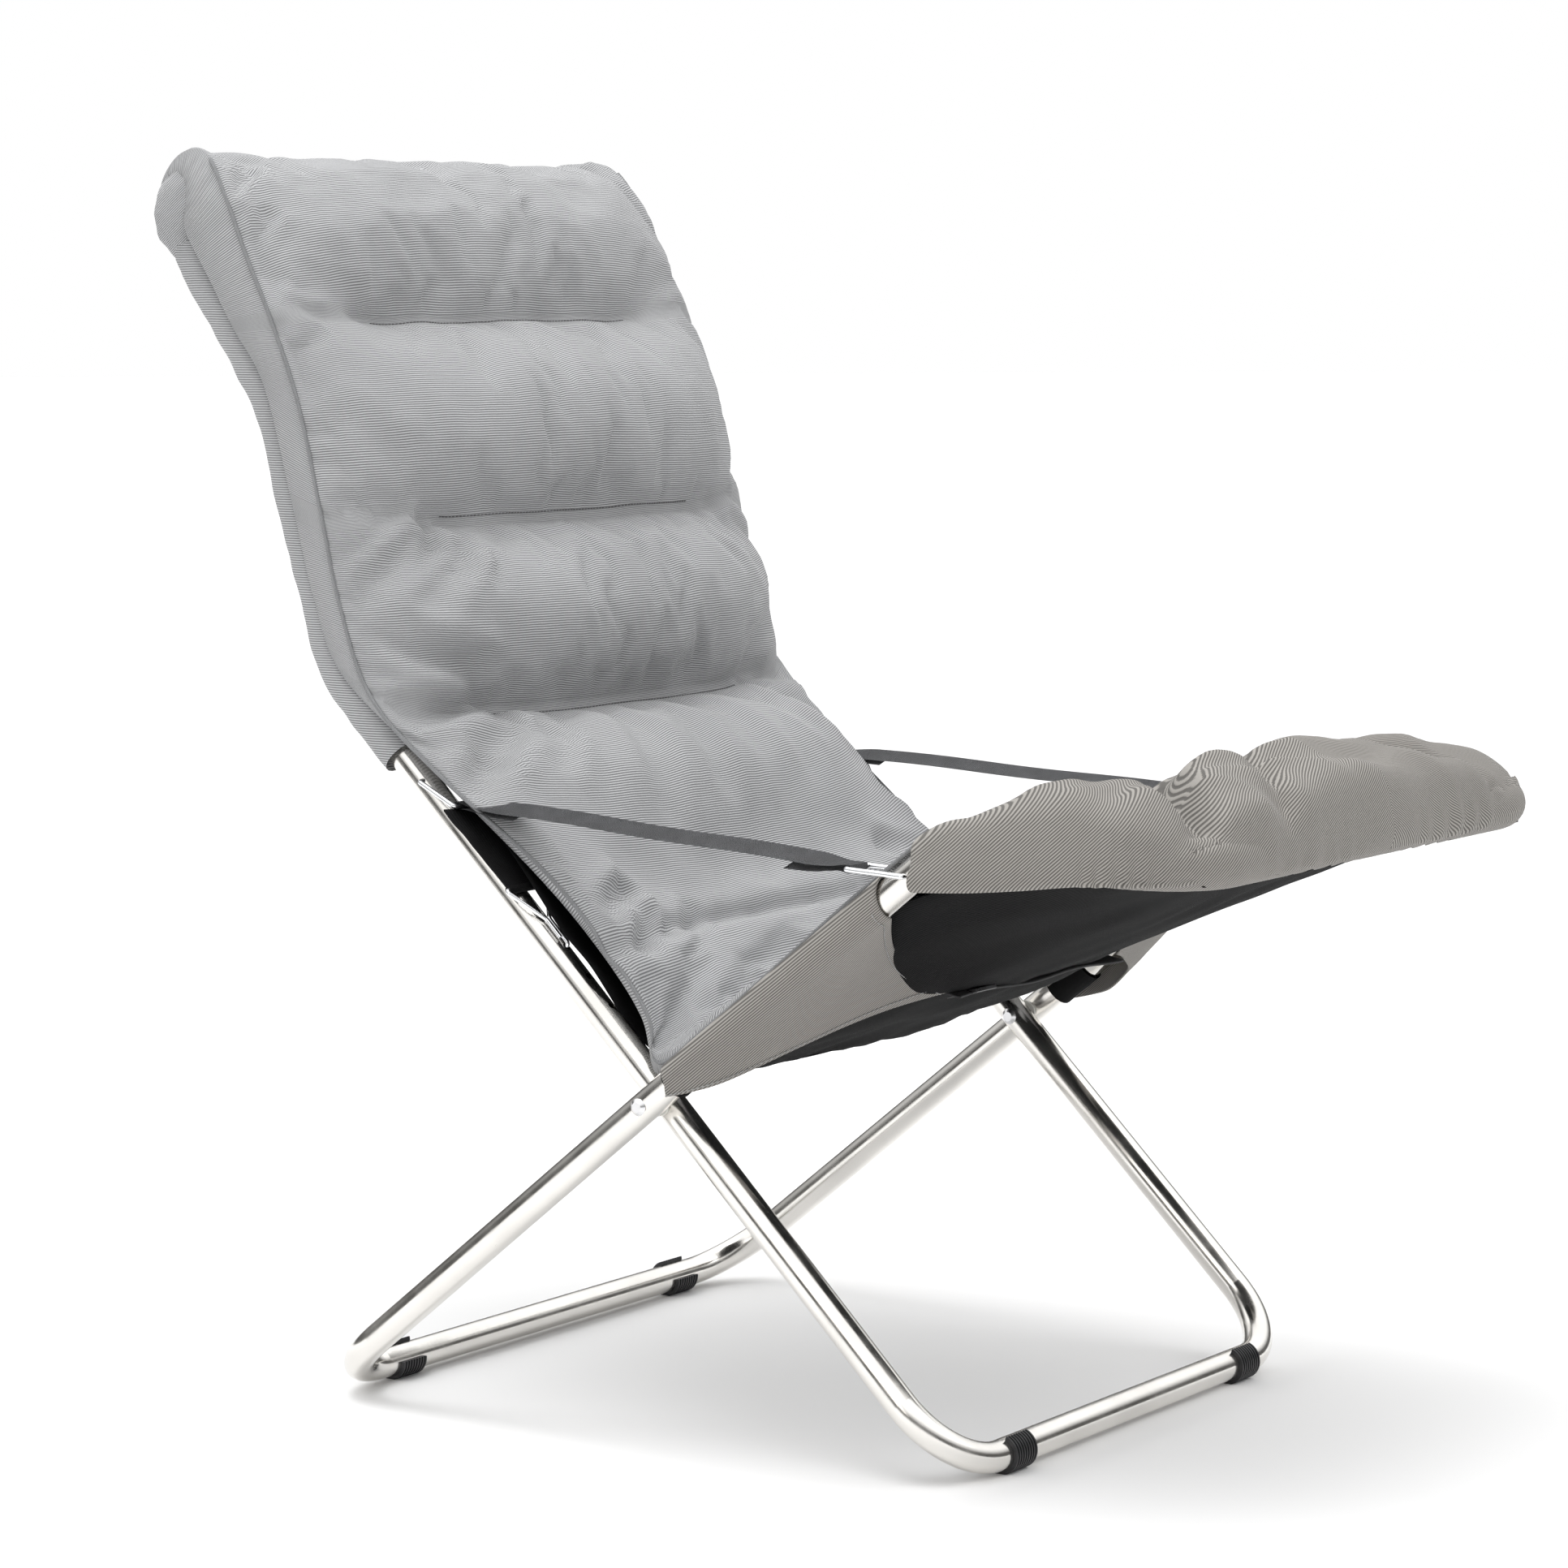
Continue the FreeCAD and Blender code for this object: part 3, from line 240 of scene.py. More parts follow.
camera = bpy.data.objects.new("camera", bpy.data.cameras.new("camera"))
bpy.context.scene.collection.objects.link(camera)
bpy.context.scene.camera = camera
CAMERA_ANGLES = (-55.354, 5.958, -0.232)  # azimuth, elevation and roll in degrees
CAMERA_PLACE = PIVOT + Vector((-3.145, -2.105, 0.624))
azimuth, elevation, roll = (math.radians(angle) for angle in CAMERA_ANGLES)
ahead = Vector(
    (-math.sin(azimuth) * math.cos(elevation), math.cos(azimuth) * math.cos(elevation), -math.sin(elevation))
)
right = ahead.cross(Vector((0, 0, 1))).normalized()
up = right.cross(ahead)
tilted_right = right * math.cos(roll) + up * math.sin(roll)
tilted_up = up * math.cos(roll) - right * math.sin(roll)
turn = Matrix((tilted_right, tilted_up, -ahead)).transposed().to_4x4()
camera.matrix_world = Matrix.Translation(CAMERA_PLACE) @ turn
camera.data.lens = 104.6
camera.data.sensor_width = 36
camera.data.clip_end = 200


def soft_light(name, spot, target, size, power, tint=(1, 1, 1)):
    """A square soft box that faces the chair."""
    lamp = bpy.data.objects.new(name, bpy.data.lights.new(name, "AREA"))
    bpy.context.scene.collection.objects.link(lamp)
    lamp.data.size = size
    lamp.data.energy = power
    lamp.data.color = tint
    lamp.location = spot
    lamp.rotation_euler = (Vector(target) - Vector(spot)).to_track_quat("-Z", "Y").to_euler()


soft_light("front_fill", (1.2, -3.4, 3.6), (0, 0, 0.5), 2.6, 16)
soft_light("overhead", (-0.5, 0.5, 4.0), (0, 0, 0.5), 2.4, 62)
soft_light("side", (-4.2, -0.6, 1.6), (0, 0, 0.5), 1.2, 9, (1.0, 0.97, 0.92))


WALL_TOP = (0.22, 0.5)
WALL_SHADE = (0.10, 0.098, 0.095)
CEILING = (1.36, 1.36, 1.36)


def studio_world():
    """White seen directly; lit by a bright ceiling above a darker band of walls."""
    world = bpy.data.worlds.new("studio")
    bpy.context.scene.world = world
    world.use_nodes = True
    nodes, links = world.node_tree.nodes, world.node_tree.links
    direction = nodes.new("ShaderNodeTexCoord")
    split = nodes.new("ShaderNodeSeparateXYZ")
    links.new(direction.outputs["Generated"], split.inputs[0])
    ramp = nodes.new("ShaderNodeValToRGB")
    links.new(split.outputs[2], ramp.inputs[0])
    ramp.color_ramp.elements[0].position = WALL_TOP[0]
    ramp.color_ramp.elements[0].color = (*WALL_SHADE, 1)
    ramp.color_ramp.elements[1].position = WALL_TOP[1]
    ramp.color_ramp.elements[1].color = (*CEILING, 1)
    seen = nodes.new("ShaderNodeLightPath")
    choice = nodes.new("ShaderNodeMix")
    choice.data_type = "RGBA"
    links.new(seen.outputs["Is Camera Ray"], choice.inputs["Factor"])
    links.new(ramp.outputs[0], choice.inputs[6])
    choice.inputs[7].default_value = (1, 1, 1, 1)
    links.new(choice.outputs[2], nodes["Background"].inputs["Color"])
    nodes["Background"].inputs["Strength"].default_value = 1.0


studio_world()
bpy.context.scene.view_settings.view_transform = "Standard"


def shaped(name, bm, material, smooth=True):
    """A finished mesh object at the origin."""
    mesh = bpy.data.meshes.new(name)
    bm.to_mesh(mesh)
    bm.free()
    piece = bpy.data.objects.new(name, mesh)
    bpy.context.scene.collection.objects.link(piece)
    mesh.materials.append(material)
    if smooth:
        mesh.polygons.foreach_set("use_smooth", [True] * len(mesh.polygons))
    return piece


# ---------------- materials


class Finish:
    """A material and short ways to add nodes to it."""

    def __init__(self, name, color, roughness, **sockets):
        self.material = bpy.data.materials.new(name)
        self.material.use_nodes = True
        self.nodes = self.material.node_tree.nodes
        self.links = self.material.node_tree.links
        self.shader = self.nodes["Principled BSDF"]
        self.shader.inputs["Base Color"].default_value = (*color, 1)
        self.shader.inputs["Roughness"].default_value = roughness
        for socket, value in sockets.items():
            self.shader.inputs[socket.replace("_", " ")].default_value = value

    def node(self, kind, inputs=None, **settings):
        """A node with its settings, and its inputs as values or as other nodes' outputs."""
        made = self.nodes.new("ShaderNode" + kind)
        for name, value in settings.items():
            setattr(made, name, value)
        for key, value in (inputs or {}).items():
            if isinstance(value, bpy.types.NodeSocket):
                self.links.new(value, made.inputs[key])
            else:
                made.inputs[key].default_value = value
        return made

    def out(self, kind, inputs=None, output=0, **settings):
        return self.node(kind, inputs, **settings).outputs[output]

    def maths(self, operation, first, second=0.0, third=0.0):
        return self.out("Math", {0: first, 1: second, 2: third}, operation=operation)

    def mix(self, share, first, second):
        """Two colours mixed by a share."""
        mixer = self.node("Mix", {"Factor": share}, data_type="RGBA")
        for index, value in ((6, first), (7, second)):
            if isinstance(value, bpy.types.NodeSocket):
                self.links.new(value, mixer.inputs[index])
            else:
                mixer.inputs[index].default_value = (*value, 1)
        return mixer.outputs[2]

    def noise(self, coordinates, scale, detail=3.0):
        return self.out("TexNoise", {"Vector": coordinates, "Scale": scale, "Detail": detail})

    def map_range(self, value, low, high, to_low, to_high):
        return self.out("MapRange", {0: value, 1: low, 2: high, 3: to_low, 4: to_high})

    def set(self, socket, value):
        self.links.new(value, self.shader.inputs[socket])

    def bump(self, height, strength, distance):
        self.set("Normal", self.out("Bump", {"Height": height, "Strength": strength, "Distance": distance}))


def ribbed_cloth(name, light, dark, pitch, sheen, across=False, gloss=0.25):
    """Two-tone rib weave on the piece's own UV map, which is in metres of flat cloth."""
    finish = Finish(name, light, 0.82, Sheen_Weight=sheen, Sheen_Roughness=0.45, Specular_IOR_Level=gloss)
    uv = finish.out("TexCoord", output=2)
    flat = finish.node("SeparateXYZ", {0: uv})
    run, rise = (flat.outputs[1], flat.outputs[0]) if across else (flat.outputs[0], flat.outputs[1])
    drift = finish.noise(uv, 9.0, 2.0)
    wavy = finish.maths("MULTIPLY_ADD", drift, pitch * 1.6, rise)
    phase = finish.maths("MULTIPLY", wavy, 2 * math.pi / pitch)
    rib = finish.maths("MULTIPLY_ADD", finish.maths("SINE", phase), 0.5, 0.5)
    stretched = finish.out(
        "CombineXYZ", {0: finish.maths("MULTIPLY", run, 260.0), 1: finish.maths("MULTIPLY", rise, 2200.0)}
    )
    threads = finish.noise(stretched, 1.0, 2.0)
    cross = finish.maths(
        "MULTIPLY_ADD", finish.maths("SINE", finish.maths("MULTIPLY", run, 2 * math.pi / 0.0011)), 0.5, 0.5
    )
    fibres = finish.maths("MULTIPLY", threads, 0.3)
    tone = finish.maths("ADD", finish.map_range(rib, 0.25, 0.75, 0.0, 0.78), fibres)
    shade = finish.mix(tone, dark, light)
    worn = finish.noise(uv, 5.0, 4.0)
    patchy = finish.map_range(worn, 0.3, 0.7, 0.93, 1.05)
    varied = finish.out("VectorMath", {0: shade, "Scale": patchy}, operation="SCALE")
    finish.set("Base Color", varied)
    finish.set("Roughness", finish.map_range(threads, 0.2, 0.8, 0.74, 0.92))
    height = finish.maths("ADD", rib, finish.maths("MULTIPLY", cross, 0.18))
    finish.bump(height, 0.55, pitch * 0.28)
    return finish.material


def plain_weave(name, color, worn, pitch, sheen):
    """Woven tape or sling cloth on Object coordinates."""
    finish = Finish(name, color, 0.62, Sheen_Weight=sheen, Sheen_Roughness=0.4, Specular_IOR_Level=0.4)
    spot = finish.out("TexCoord", output=3)
    flat = finish.node("SeparateXYZ", {0: spot})
    turns = 2 * math.pi / pitch
    weft = finish.maths("SINE", finish.maths("MULTIPLY", flat.outputs[1], turns))
    warp = finish.maths("SINE", finish.maths("MULTIPLY", flat.outputs[0], turns))
    grain = finish.maths("MULTIPLY", weft, warp)
    fuzz = finish.noise(spot, 60.0, 3.0)
    finish.set("Base Color", finish.mix(finish.map_range(fuzz, 0.35, 0.75, 0.0, 1.0), color, worn))
    finish.set("Roughness", finish.map_range(fuzz, 0.2, 0.8, 0.5, 0.78))
    finish.bump(grain, 0.5, pitch * 0.25)
    return finish.material


def polished_metal(name, color, roughness, streaks):
    """Polished tube: fine drawing streaks, faint handling marks and a slight ripple."""
    finish = Finish(name, color, roughness, Metallic=1.0)
    spot = finish.out("TexCoord", output=3)
    marks = finish.noise(spot, 34.0, 6.0)
    fine = finish.noise(finish.out("Mapping", {0: spot, 3: (900.0, 60.0, 60.0)}), 1.0, 2.0)
    handled = finish.map_range(marks, 0.4, 0.75, roughness, roughness + 0.12)
    finish.set("Roughness", finish.maths("ADD", handled, finish.maths("MULTIPLY", fine, streaks)))
    tarnish = finish.noise(spot, 11.0, 5.0)
    duller = tuple(c * 0.86 for c in color)
    finish.set("Base Color", finish.mix(finish.map_range(tarnish, 0.45, 0.8, 0.0, 1.0), color, duller))
    finish.bump(finish.maths("ADD", marks, fine), 0.06, 0.0006)
    return finish.material


def moulded(name, color, roughness):
    """Moulded plastic with a fine grain and paler worn spots."""
    finish = Finish(name, color, roughness)
    spot = finish.out("TexCoord", output=3)
    grain = finish.noise(spot, 900.0, 2.0)
    wear = finish.noise(spot, 45.0, 5.0)
    scuffed = tuple(c * 2.6 + 0.01 for c in color)
    finish.set("Base Color", finish.mix(finish.map_range(wear, 0.55, 0.8, 0.0, 1.0), color, scuffed))
    finish.set("Roughness", finish.map_range(wear, 0.3, 0.8, roughness - 0.08, roughness + 0.15))
    finish.bump(grain, 0.12, 0.0003)
    return finish.material


COVER = ribbed_cloth("cover_rib", (0.53, 0.535, 0.545), (0.135, 0.136, 0.14), 0.0020, 0.12)
# The side flaps' and front pocket's cloth is the cover's rib made darker and warmer: painted shade, for the sides that
# face away from the light.
SHADED_FLAP = ribbed_cloth("flap_rib", (0.37, 0.352, 0.328), (0.072, 0.068, 0.062), 0.0023, 0.08)
HEM = ribbed_cloth("hem_rib", (0.40, 0.405, 0.415), (0.12, 0.122, 0.126), 0.0014, 0.08)
SLING = ribbed_cloth("sling_rib", (0.0105, 0.0105, 0.011), (0.004, 0.004, 0.0042), 0.0026, 0.004, True, 0.10)
WEBBING = plain_weave("strap_webbing", (0.085, 0.087, 0.092), (0.135, 0.138, 0.145), 0.0016, 0.2)
BLACK_TAPE = plain_weave("black_tape", (0.012, 0.012, 0.013), (0.03, 0.03, 0.032), 0.0014, 0.1)
THREAD = plain_weave("sewing_thread", (0.3, 0.3, 0.3), (0.4, 0.4, 0.4), 0.0006, 0.1)
TUBE = polished_metal("polished_tube", (0.82, 0.8, 0.765), 0.13, 0.05)
WIRE = polished_metal("zinc_wire", (0.86, 0.87, 0.89), 0.2, 0.04)
RIVET = polished_metal("rivet_steel", (0.78, 0.78, 0.79), 0.24, 0.03)
SLEEVE = polished_metal("sleeve_steel", (0.55, 0.55, 0.56), 0.4, 0.1)
FOOT = moulded("foot_plastic", (0.016, 0.016, 0.018), 0.42)
BUCKLE = moulded("buckle_plastic", (0.02, 0.02, 0.021), 0.25)
NYLON = moulded("washer_nylon", (0.75, 0.74, 0.7), 0.45)
SEAM_THREAD = plain_weave("seam_thread", (0.09, 0.09, 0.092), (0.13, 0.13, 0.13), 0.0006, 0.1)
FLOOR = Finish("pale_floor", (0.95, 0.95, 0.95), 0.9).material

CAD_FINISHES = {
    "polished_tube": TUBE,
    "link_wire": WIRE,
    "rivet_steel": RIVET,
    "sleeve_steel": SLEEVE,
    "foot_plastic": FOOT,
    "buckle_plastic": BUCKLE,
    "washer_nylon": NYLON,
    "strap_black": BLACK_TAPE,
    "sling_cloth": SLING,
    "strap_webbing": WEBBING,
    "cover_cloth": COVER,
    "side_cloth": SHADED_FLAP,
    "pocket_cloth": SHADED_FLAP,
}
for subpart in frame["record"]["subparts"]:
    node = frame["nodes"][subpart["node"]]
    node.data.materials.clear()
    node.data.materials.append(CAD_FINISHES[subpart["material_slot"]])

ground = bmesh.new()
bmesh.ops.create_circle(ground, cap_ends=True, segments=64, radius=60)
floor = shaped("floor", ground, FLOOR, smooth=False)
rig.stage(floor)

# ---------------- cloth sheets from grids


def smooth_step(value, low, high):
    """0 below low, 1 above high, and a smooth rise between."""
    share = min(1.0, max(0.0, (value - low) / (high - low)))
    return share * share * (3 - 2 * share)


def spline_value(points, share):
    """A point on a Catmull-Rom spline through the points, share from 0 to 1."""
    last = len(points) - 1
    spot = min(max(share, 0.0), 1.0) * last
    index = min(int(spot), last - 1)
    t = spot - index
    p1, p2 = points[index], points[index + 1]
    p0 = points[index - 1] if index > 0 else p1 * 2 - p2
    p3 = points[index + 2] if index + 2 <= last else p2 * 2 - p1
    square = p0 * 2 - p1 * 5 + p2 * 4 - p3
    cube = p1 * 3 - p0 - p2 * 3 + p3
    return 0.5 * ((p1 * 2) + (p2 - p0) * t + square * t * t + cube * t**3)


def grid_sheet(columns, rows, spot):
    """A grid whose points are moved to spot(across, along), each from 0 to 1, with a UV map in metres."""
    bm = bmesh.new()
    bmesh.ops.create_grid(bm, x_segments=columns, y_segments=rows, size=0.5)
    share = {vert: (vert.co.x + 0.5, vert.co.y + 0.5) for vert in bm.verts}
    for vert, (across, along) in share.items():
        vert.co = spot(across, along)
    width = max((spot(i / 40 + 0.025, 0.5) - spot(i / 40, 0.5)).length for i in range(40)) * 40
    steps = 160
    line = [spot(0.5, index / steps) for index in range(steps + 1)]
    reached = [0.0]
    for first, second in zip(line, line[1:]):
        reached.append(reached[-1] + (second - first).length)
    uv = bm.loops.layers.uv.new("UVMap")
    for face in bm.faces:
        for loop in face.loops:
            across, along = share[loop.vert]
            index = min(int(along * steps), steps - 1)
            part = along * steps - index
            loop[uv].uv = (across * width, reached[index] + (reached[index + 1] - reached[index]) * part)
    return bm


def thicken(bm, thickness):
    """Give a sheet a thickness, inwards."""
    bmesh.ops.solidify(bm, geom=bm.faces[:], thickness=thickness)


# ---------------- padded cover: back, lower back and seat

# Each row across the cover: its front at the middle and at the sides, its rear at the middle and at the
# sides, as places behind the cross rivet and above the floor, and half its width.
COVER_ROWS = [
    ((0.517, 0.957), (0.517, 0.955), (0.514, 0.958), (0.514, 0.956), 0.222),
    ((0.532, 0.985), (0.529, 0.981), (0.527, 0.985), (0.525, 0.982), 0.246),
    ((0.526, 1.012), (0.522, 1.008), (0.521, 1.000), (0.516, 0.998), 0.262),
    ((0.490, 1.030), (0.492, 1.033), (0.500, 1.003), (0.500, 1.002), 0.272),
    ((0.446, 1.028), (0.456, 1.034), (0.486, 0.990), (0.488, 0.992), 0.280),
    ((0.408, 1.004), (0.428, 0.998), (0.471, 0.960), (0.474, 0.966), 0.288),
    ((0.372, 0.965), (0.404, 0.948), (0.447, 0.925), (0.449, 0.930), 0.290),
    ((0.346, 0.908), (0.378, 0.895), (0.421, 0.888), (0.424, 0.890), 0.290),
    ((0.290, 0.829), (0.350, 0.826), (0.385, 0.838), (0.390, 0.840), 0.290),
    ((0.264, 0.736), (0.327, 0.732), (0.357, 0.740), (0.362, 0.742), 0.289),
    ((0.221, 0.664), (0.311, 0.664), (0.334, 0.664), (0.342, 0.668), 0.288),
    ((0.214, 0.581), (0.279, 0.588), (0.300, 0.600), (0.314, 0.606), 0.287),
    ((0.142, 0.515), (0.214, 0.526), (0.235, 0.545), (0.243, 0.543), 0.278),
    ((0.105, 0.430), (0.120, 0.455), (0.138, 0.424), (0.130, 0.450), 0.266),
    ((0.055, 0.392), (0.058, 0.396), (0.088, 0.366), (0.067, 0.391), 0.264),
    ((0.018, 0.362), (0.017, 0.346), (0.041, 0.323), (0.026, 0.343), 0.266),
    ((-0.028, 0.350), (-0.006, 0.312), (-0.028, 0.308), (-0.002, 0.302), 0.282),
    ((-0.090, 0.368), (-0.060, 0.347), (-0.083, 0.326), (-0.055, 0.341), 0.291),
    ((-0.160, 0.402), (-0.130, 0.403), (-0.150, 0.358), (-0.125, 0.396), 0.292),
    ((-0.230, 0.440), (-0.195, 0.456), (-0.220, 0.394), (-0.190, 0.449), 0.292),
    ((-0.300, 0.482), (-0.258, 0.506), (-0.285, 0.430), (-0.253, 0.499), 0.290),
]
SEAM_ROWS = (7, 9, 11)
CREASE_ROW = 13
SEAM_END = 0.62
COVER_COLUMNS, COVER_LENGTHS = 118, 250


def row_points(index):
    """One column of the row table as points of the side plane."""
    return [place(*row[index]) for row in COVER_ROWS]


FRONT_MIDDLE, FRONT_EDGE, REAR_MIDDLE, REAR_EDGE = (row_points(index) for index in range(4))
HALF_WIDTHS = [Vector((row[4], 0, 0)) for row in COVER_ROWS]
LAST_ROW = len(COVER_ROWS) - 1

# Folds in the slack cloth: start and end as (share across from the middle, row), depth and width in metres.
# The near side of each seam's end has the strongest ones; the far side repeats them, weaker.
FOLDS = (
    ((0.66, 8.05), (0.97, 8.9), 0.010, 0.013),
    ((0.64, 8.2), (0.86, 9.15), 0.011, 0.015),
    ((0.60, 8.25), (0.70, 8.75), 0.006, 0.010),
    ((0.72, 7.6), (0.95, 7.05), 0.004, 0.014),
    ((0.62, 9.8), (0.98, 9.25), 0.010, 0.014),
    ((0.60, 10.0), (0.99, 10.15), 0.010, 0.014),
    ((0.58, 10.25), (0.90, 10.75), 0.011, 0.015),
    ((0.52, 10.35), (0.70, 11.0), 0.008, 0.012),
    ((0.80, 10.7), (0.99, 11.2), 0.007, 0.012),
    ((0.20, 10.3), (0.34, 11.5), 0.005, 0.018),
    ((-0.05, 10.3), (0.02, 11.4), 0.004, 0.016),
    ((0.66, 12.1), (0.93, 12.6), 0.010, 0.012),
    ((0.70, 12.4), (0.88, 13.3), 0.007, 0.012),
    ((0.45, 12.4), (0.60, 13.4), 0.004, 0.014),
    ((0.62, 5.9), (0.90, 5.5), 0.004, 0.014),
    ((0.84, 3.4), (0.99, 4.0), 0.004, 0.010),
    ((0.88, 4.4), (0.99, 5.0), 0.004, 0.010),
)


FOLD_STRENGTH = 1.45
CLOTH_HALF, ROW_SPACING = 0.285, 0.075  # rough half width of the cover and length of one row


def fold_depth(side, row):
    """How deep the cloth lies in its folds at a place of the cover."""
    depth = 0.0
    for (start_side, start_row), (end_side, end_row), deep, wide in FOLDS:
        for mirror, strength in ((-1, 1.0), (1, 0.55)):
            start = Vector((mirror * start_side * CLOTH_HALF, (start_row + 1) * ROW_SPACING))
            end = Vector((mirror * end_side * CLOTH_HALF, (end_row + 1) * ROW_SPACING))
            spot = Vector((side * CLOTH_HALF, row * ROW_SPACING))
            line = end - start
            share = min(1.0, max(0.0, (spot - start).dot(line) / line.length_squared))
            away = (spot - start - line * share).length / wide
            if away < 3:
                taper = min(1.0, share * 7) * (1 - share) ** 0.55
                ridge = math.exp(-away * away) - 0.55 * math.exp(-((away - 1.5) ** 2) * 2.5)
                depth += FOLD_STRENGTH * strength * deep * taper * ridge
    return depth


SEAM_GROOVES = ((0.017, 0.0050), (0.012, 0.020))  # depth and width of the sharp and of the soft groove


def seam_depth(side, row):
    """The sewn grooves across the back: deep in the middle and fading towards the sides."""
    depth = 0.0
    for seam in SEAM_ROWS:
        reach = 1 - smooth_step(abs(side), SEAM_END - 0.1, SEAM_END + 0.3)
        away = (row - seam) * ROW_SPACING
        for deep, wide in SEAM_GROOVES:
            depth += deep * reach * math.exp(-((away / wide) ** 2))
    crease = (row - CREASE_ROW - 0.8 - 0.25 * smooth_step(abs(side), 0.55, 0.95)) * 0.06
    return depth + 0.013 * math.exp(-((crease / 0.011) ** 2)) * (1 - 0.6 * smooth_step(abs(side), 0.8, 1.0))


def crown(side):
    """Share of the way from the side's line to the middle's, across the cover."""
    return (1 - abs(side) ** 3.2) ** 0.85


def cover_front(across, along):
    """A point of the cover's front; across and along run from 0 to 1."""
    side = 2 * across - 1
    row = along * LAST_ROW
    share = crown(side)
    middle = spline_value(FRONT_MIDDLE, along)
    edge = spline_value(FRONT_EDGE, along)
    half = spline_value(HALF_WIDTHS, along).x
    point = edge + (middle - edge) * share
    step = 0.004
    run = spline_value(FRONT_MIDDLE, along + step) - spline_value(FRONT_MIDDLE, along - step)
    outward = Vector((0, run.z, -run.y)).normalized()
    ripple = noise.noise(Vector((side * 5.2, row * 1.5, 3.1))) * 0.0035
    ripple += noise.noise(Vector((side * 12.0, row * 3.4, 9.7))) * 0.0012
    fade = smooth_step(1 - abs(side), 0.0, 0.05)
    sunk = seam_depth(side, row) + fold_depth(side, row) * fade - ripple * fade
    point = point - outward * sunk
    point.x = side * half
    return point


def cover_rear(across, along):
    """The matching point of the cover's rear."""
    side = 2 * across - 1
    middle = spline_value(REAR_MIDDLE, along)
    edge = spline_value(REAR_EDGE, along)
    point = edge + (middle - edge) * (1 - abs(side) ** 2.1)
    point.x = side * (spline_value(HALF_WIDTHS, along).x - 0.004)
    return point


def padded_cover():
    """Front sheet, extruded to its rear so that the cover is a closed pad."""
    bm = grid_sheet(COVER_COLUMNS, COVER_LENGTHS, cover_front)
    bm.verts.ensure_lookup_table()
    shares = {}
    for vert in bm.verts:
        length, column = divmod(vert.index, COVER_COLUMNS + 1)
        shares[vert.index] = (column / COVER_COLUMNS, length / COVER_LENGTHS)
    layer = bm.verts.layers.int.new("home")
    for vert in bm.verts:
        vert[layer] = vert.index
    made = bmesh.ops.extrude_face_region(bm, geom=bm.faces[:], use_keep_orig=True)
    for item in made["geom"]:
        if isinstance(item, bmesh.types.BMVert):
            item.co = cover_rear(*shares[item[layer]])
    bmesh.ops.recalc_face_normals(bm, faces=bm.faces[:])
    return bm


cover = shaped("padded_cover", padded_cover(), COVER)
FRONT_COUNT = (COVER_COLUMNS + 1) * (COVER_LENGTHS + 1)


def held_share(index):
    """How firmly the sewing holds a point of the cover's front: 1 at its border and seams, else 0."""
    side = abs(2 * (index % (COVER_COLUMNS + 1)) / COVER_COLUMNS - 1)
    row = index // (COVER_COLUMNS + 1) / COVER_LENGTHS * LAST_ROW
    if side > 0.985 or row < 2 or row > LAST_ROW - 0.3:
        return 1.0
    if any(abs(row - seam) < 0.045 for seam in SEAM_ROWS) and side < SEAM_END - 0.02:
        return 1.0
    return 0.0


def puffed(piece, count, held, frames=16, reach=0.011, slack=-0.035):
    """Let the filling push the first points of a piece out as slack cloth between its sewn points."""
    bm = bmesh.new()
    bm.from_mesh(piece.data)
    bm.verts.ensure_lookup_table()
    bmesh.ops.delete(bm, geom=bm.verts[count:], context="VERTS")
    mesh = bpy.data.meshes.new("cloth_trial")
    bm.to_mesh(mesh)
    bm.free()
    trial = bpy.data.objects.new("cloth_trial", mesh)
    bpy.context.scene.collection.objects.link(trial)
    sewn = trial.vertex_groups.new(name="sewn")
    sewn.add([index for index in range(count) if held(index) > 0], 1.0, "REPLACE")
    cloth = trial.modifiers.new("cloth", "CLOTH")
    cloth.settings.quality = 4
    cloth.settings.mass = 0.25
    cloth.settings.tension_stiffness = 20
    cloth.settings.compression_stiffness = 12
    cloth.settings.shear_stiffness = 4
    cloth.settings.bending_stiffness = 0.6
    cloth.settings.vertex_group_mass = "sewn"
    cloth.settings.shrink_min = slack
    cloth.settings.use_pressure = True
    cloth.settings.uniform_pressure_force = 4.0
    cloth.settings.effector_weights.gravity = 0.0
    cloth.point_cache.frame_start = 1
    cloth.point_cache.frame_end = frames
    for step in range(1, frames + 1):
        bpy.context.scene.frame_set(step)
    shape = trial.evaluated_get(bpy.context.evaluated_depsgraph_get()).data
    for vert in piece.data.vertices[:count]:
        moved = shape.vertices[vert.index].co - vert.co
        if moved.length > reach:
            moved *= reach / moved.length
        vert.co += moved
    bpy.context.scene.frame_set(1)
    bpy.data.objects.remove(trial)
    piece.data.update()


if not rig.quick():
    puffed(cover, FRONT_COUNT, held_share)


def drawn(points, step=0.004):
    """Even points along a line on the cover's front, read from the finished cover."""
    return even([cover.data.vertices[index].co.copy() for index in points], step)


def front_index(column, row):
    """Number of the cover's front point at a column and a row of its grid."""
    return row * (COVER_COLUMNS + 1) + column


def grid_row(row):
    """Row of the cover's grid nearest to a row of its table."""
    return round(row / LAST_ROW * COVER_LENGTHS)


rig.blend(cover, "back_frame", "seat_frame", start=BEND_START, end=BEND_END)
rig.replaces(cover, "back_pad", "hammock_pad", "seat_pad")
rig.slot(cover, "cover_cloth")
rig.padded(cover, fill=0.55)


# ---------------- shared shapes


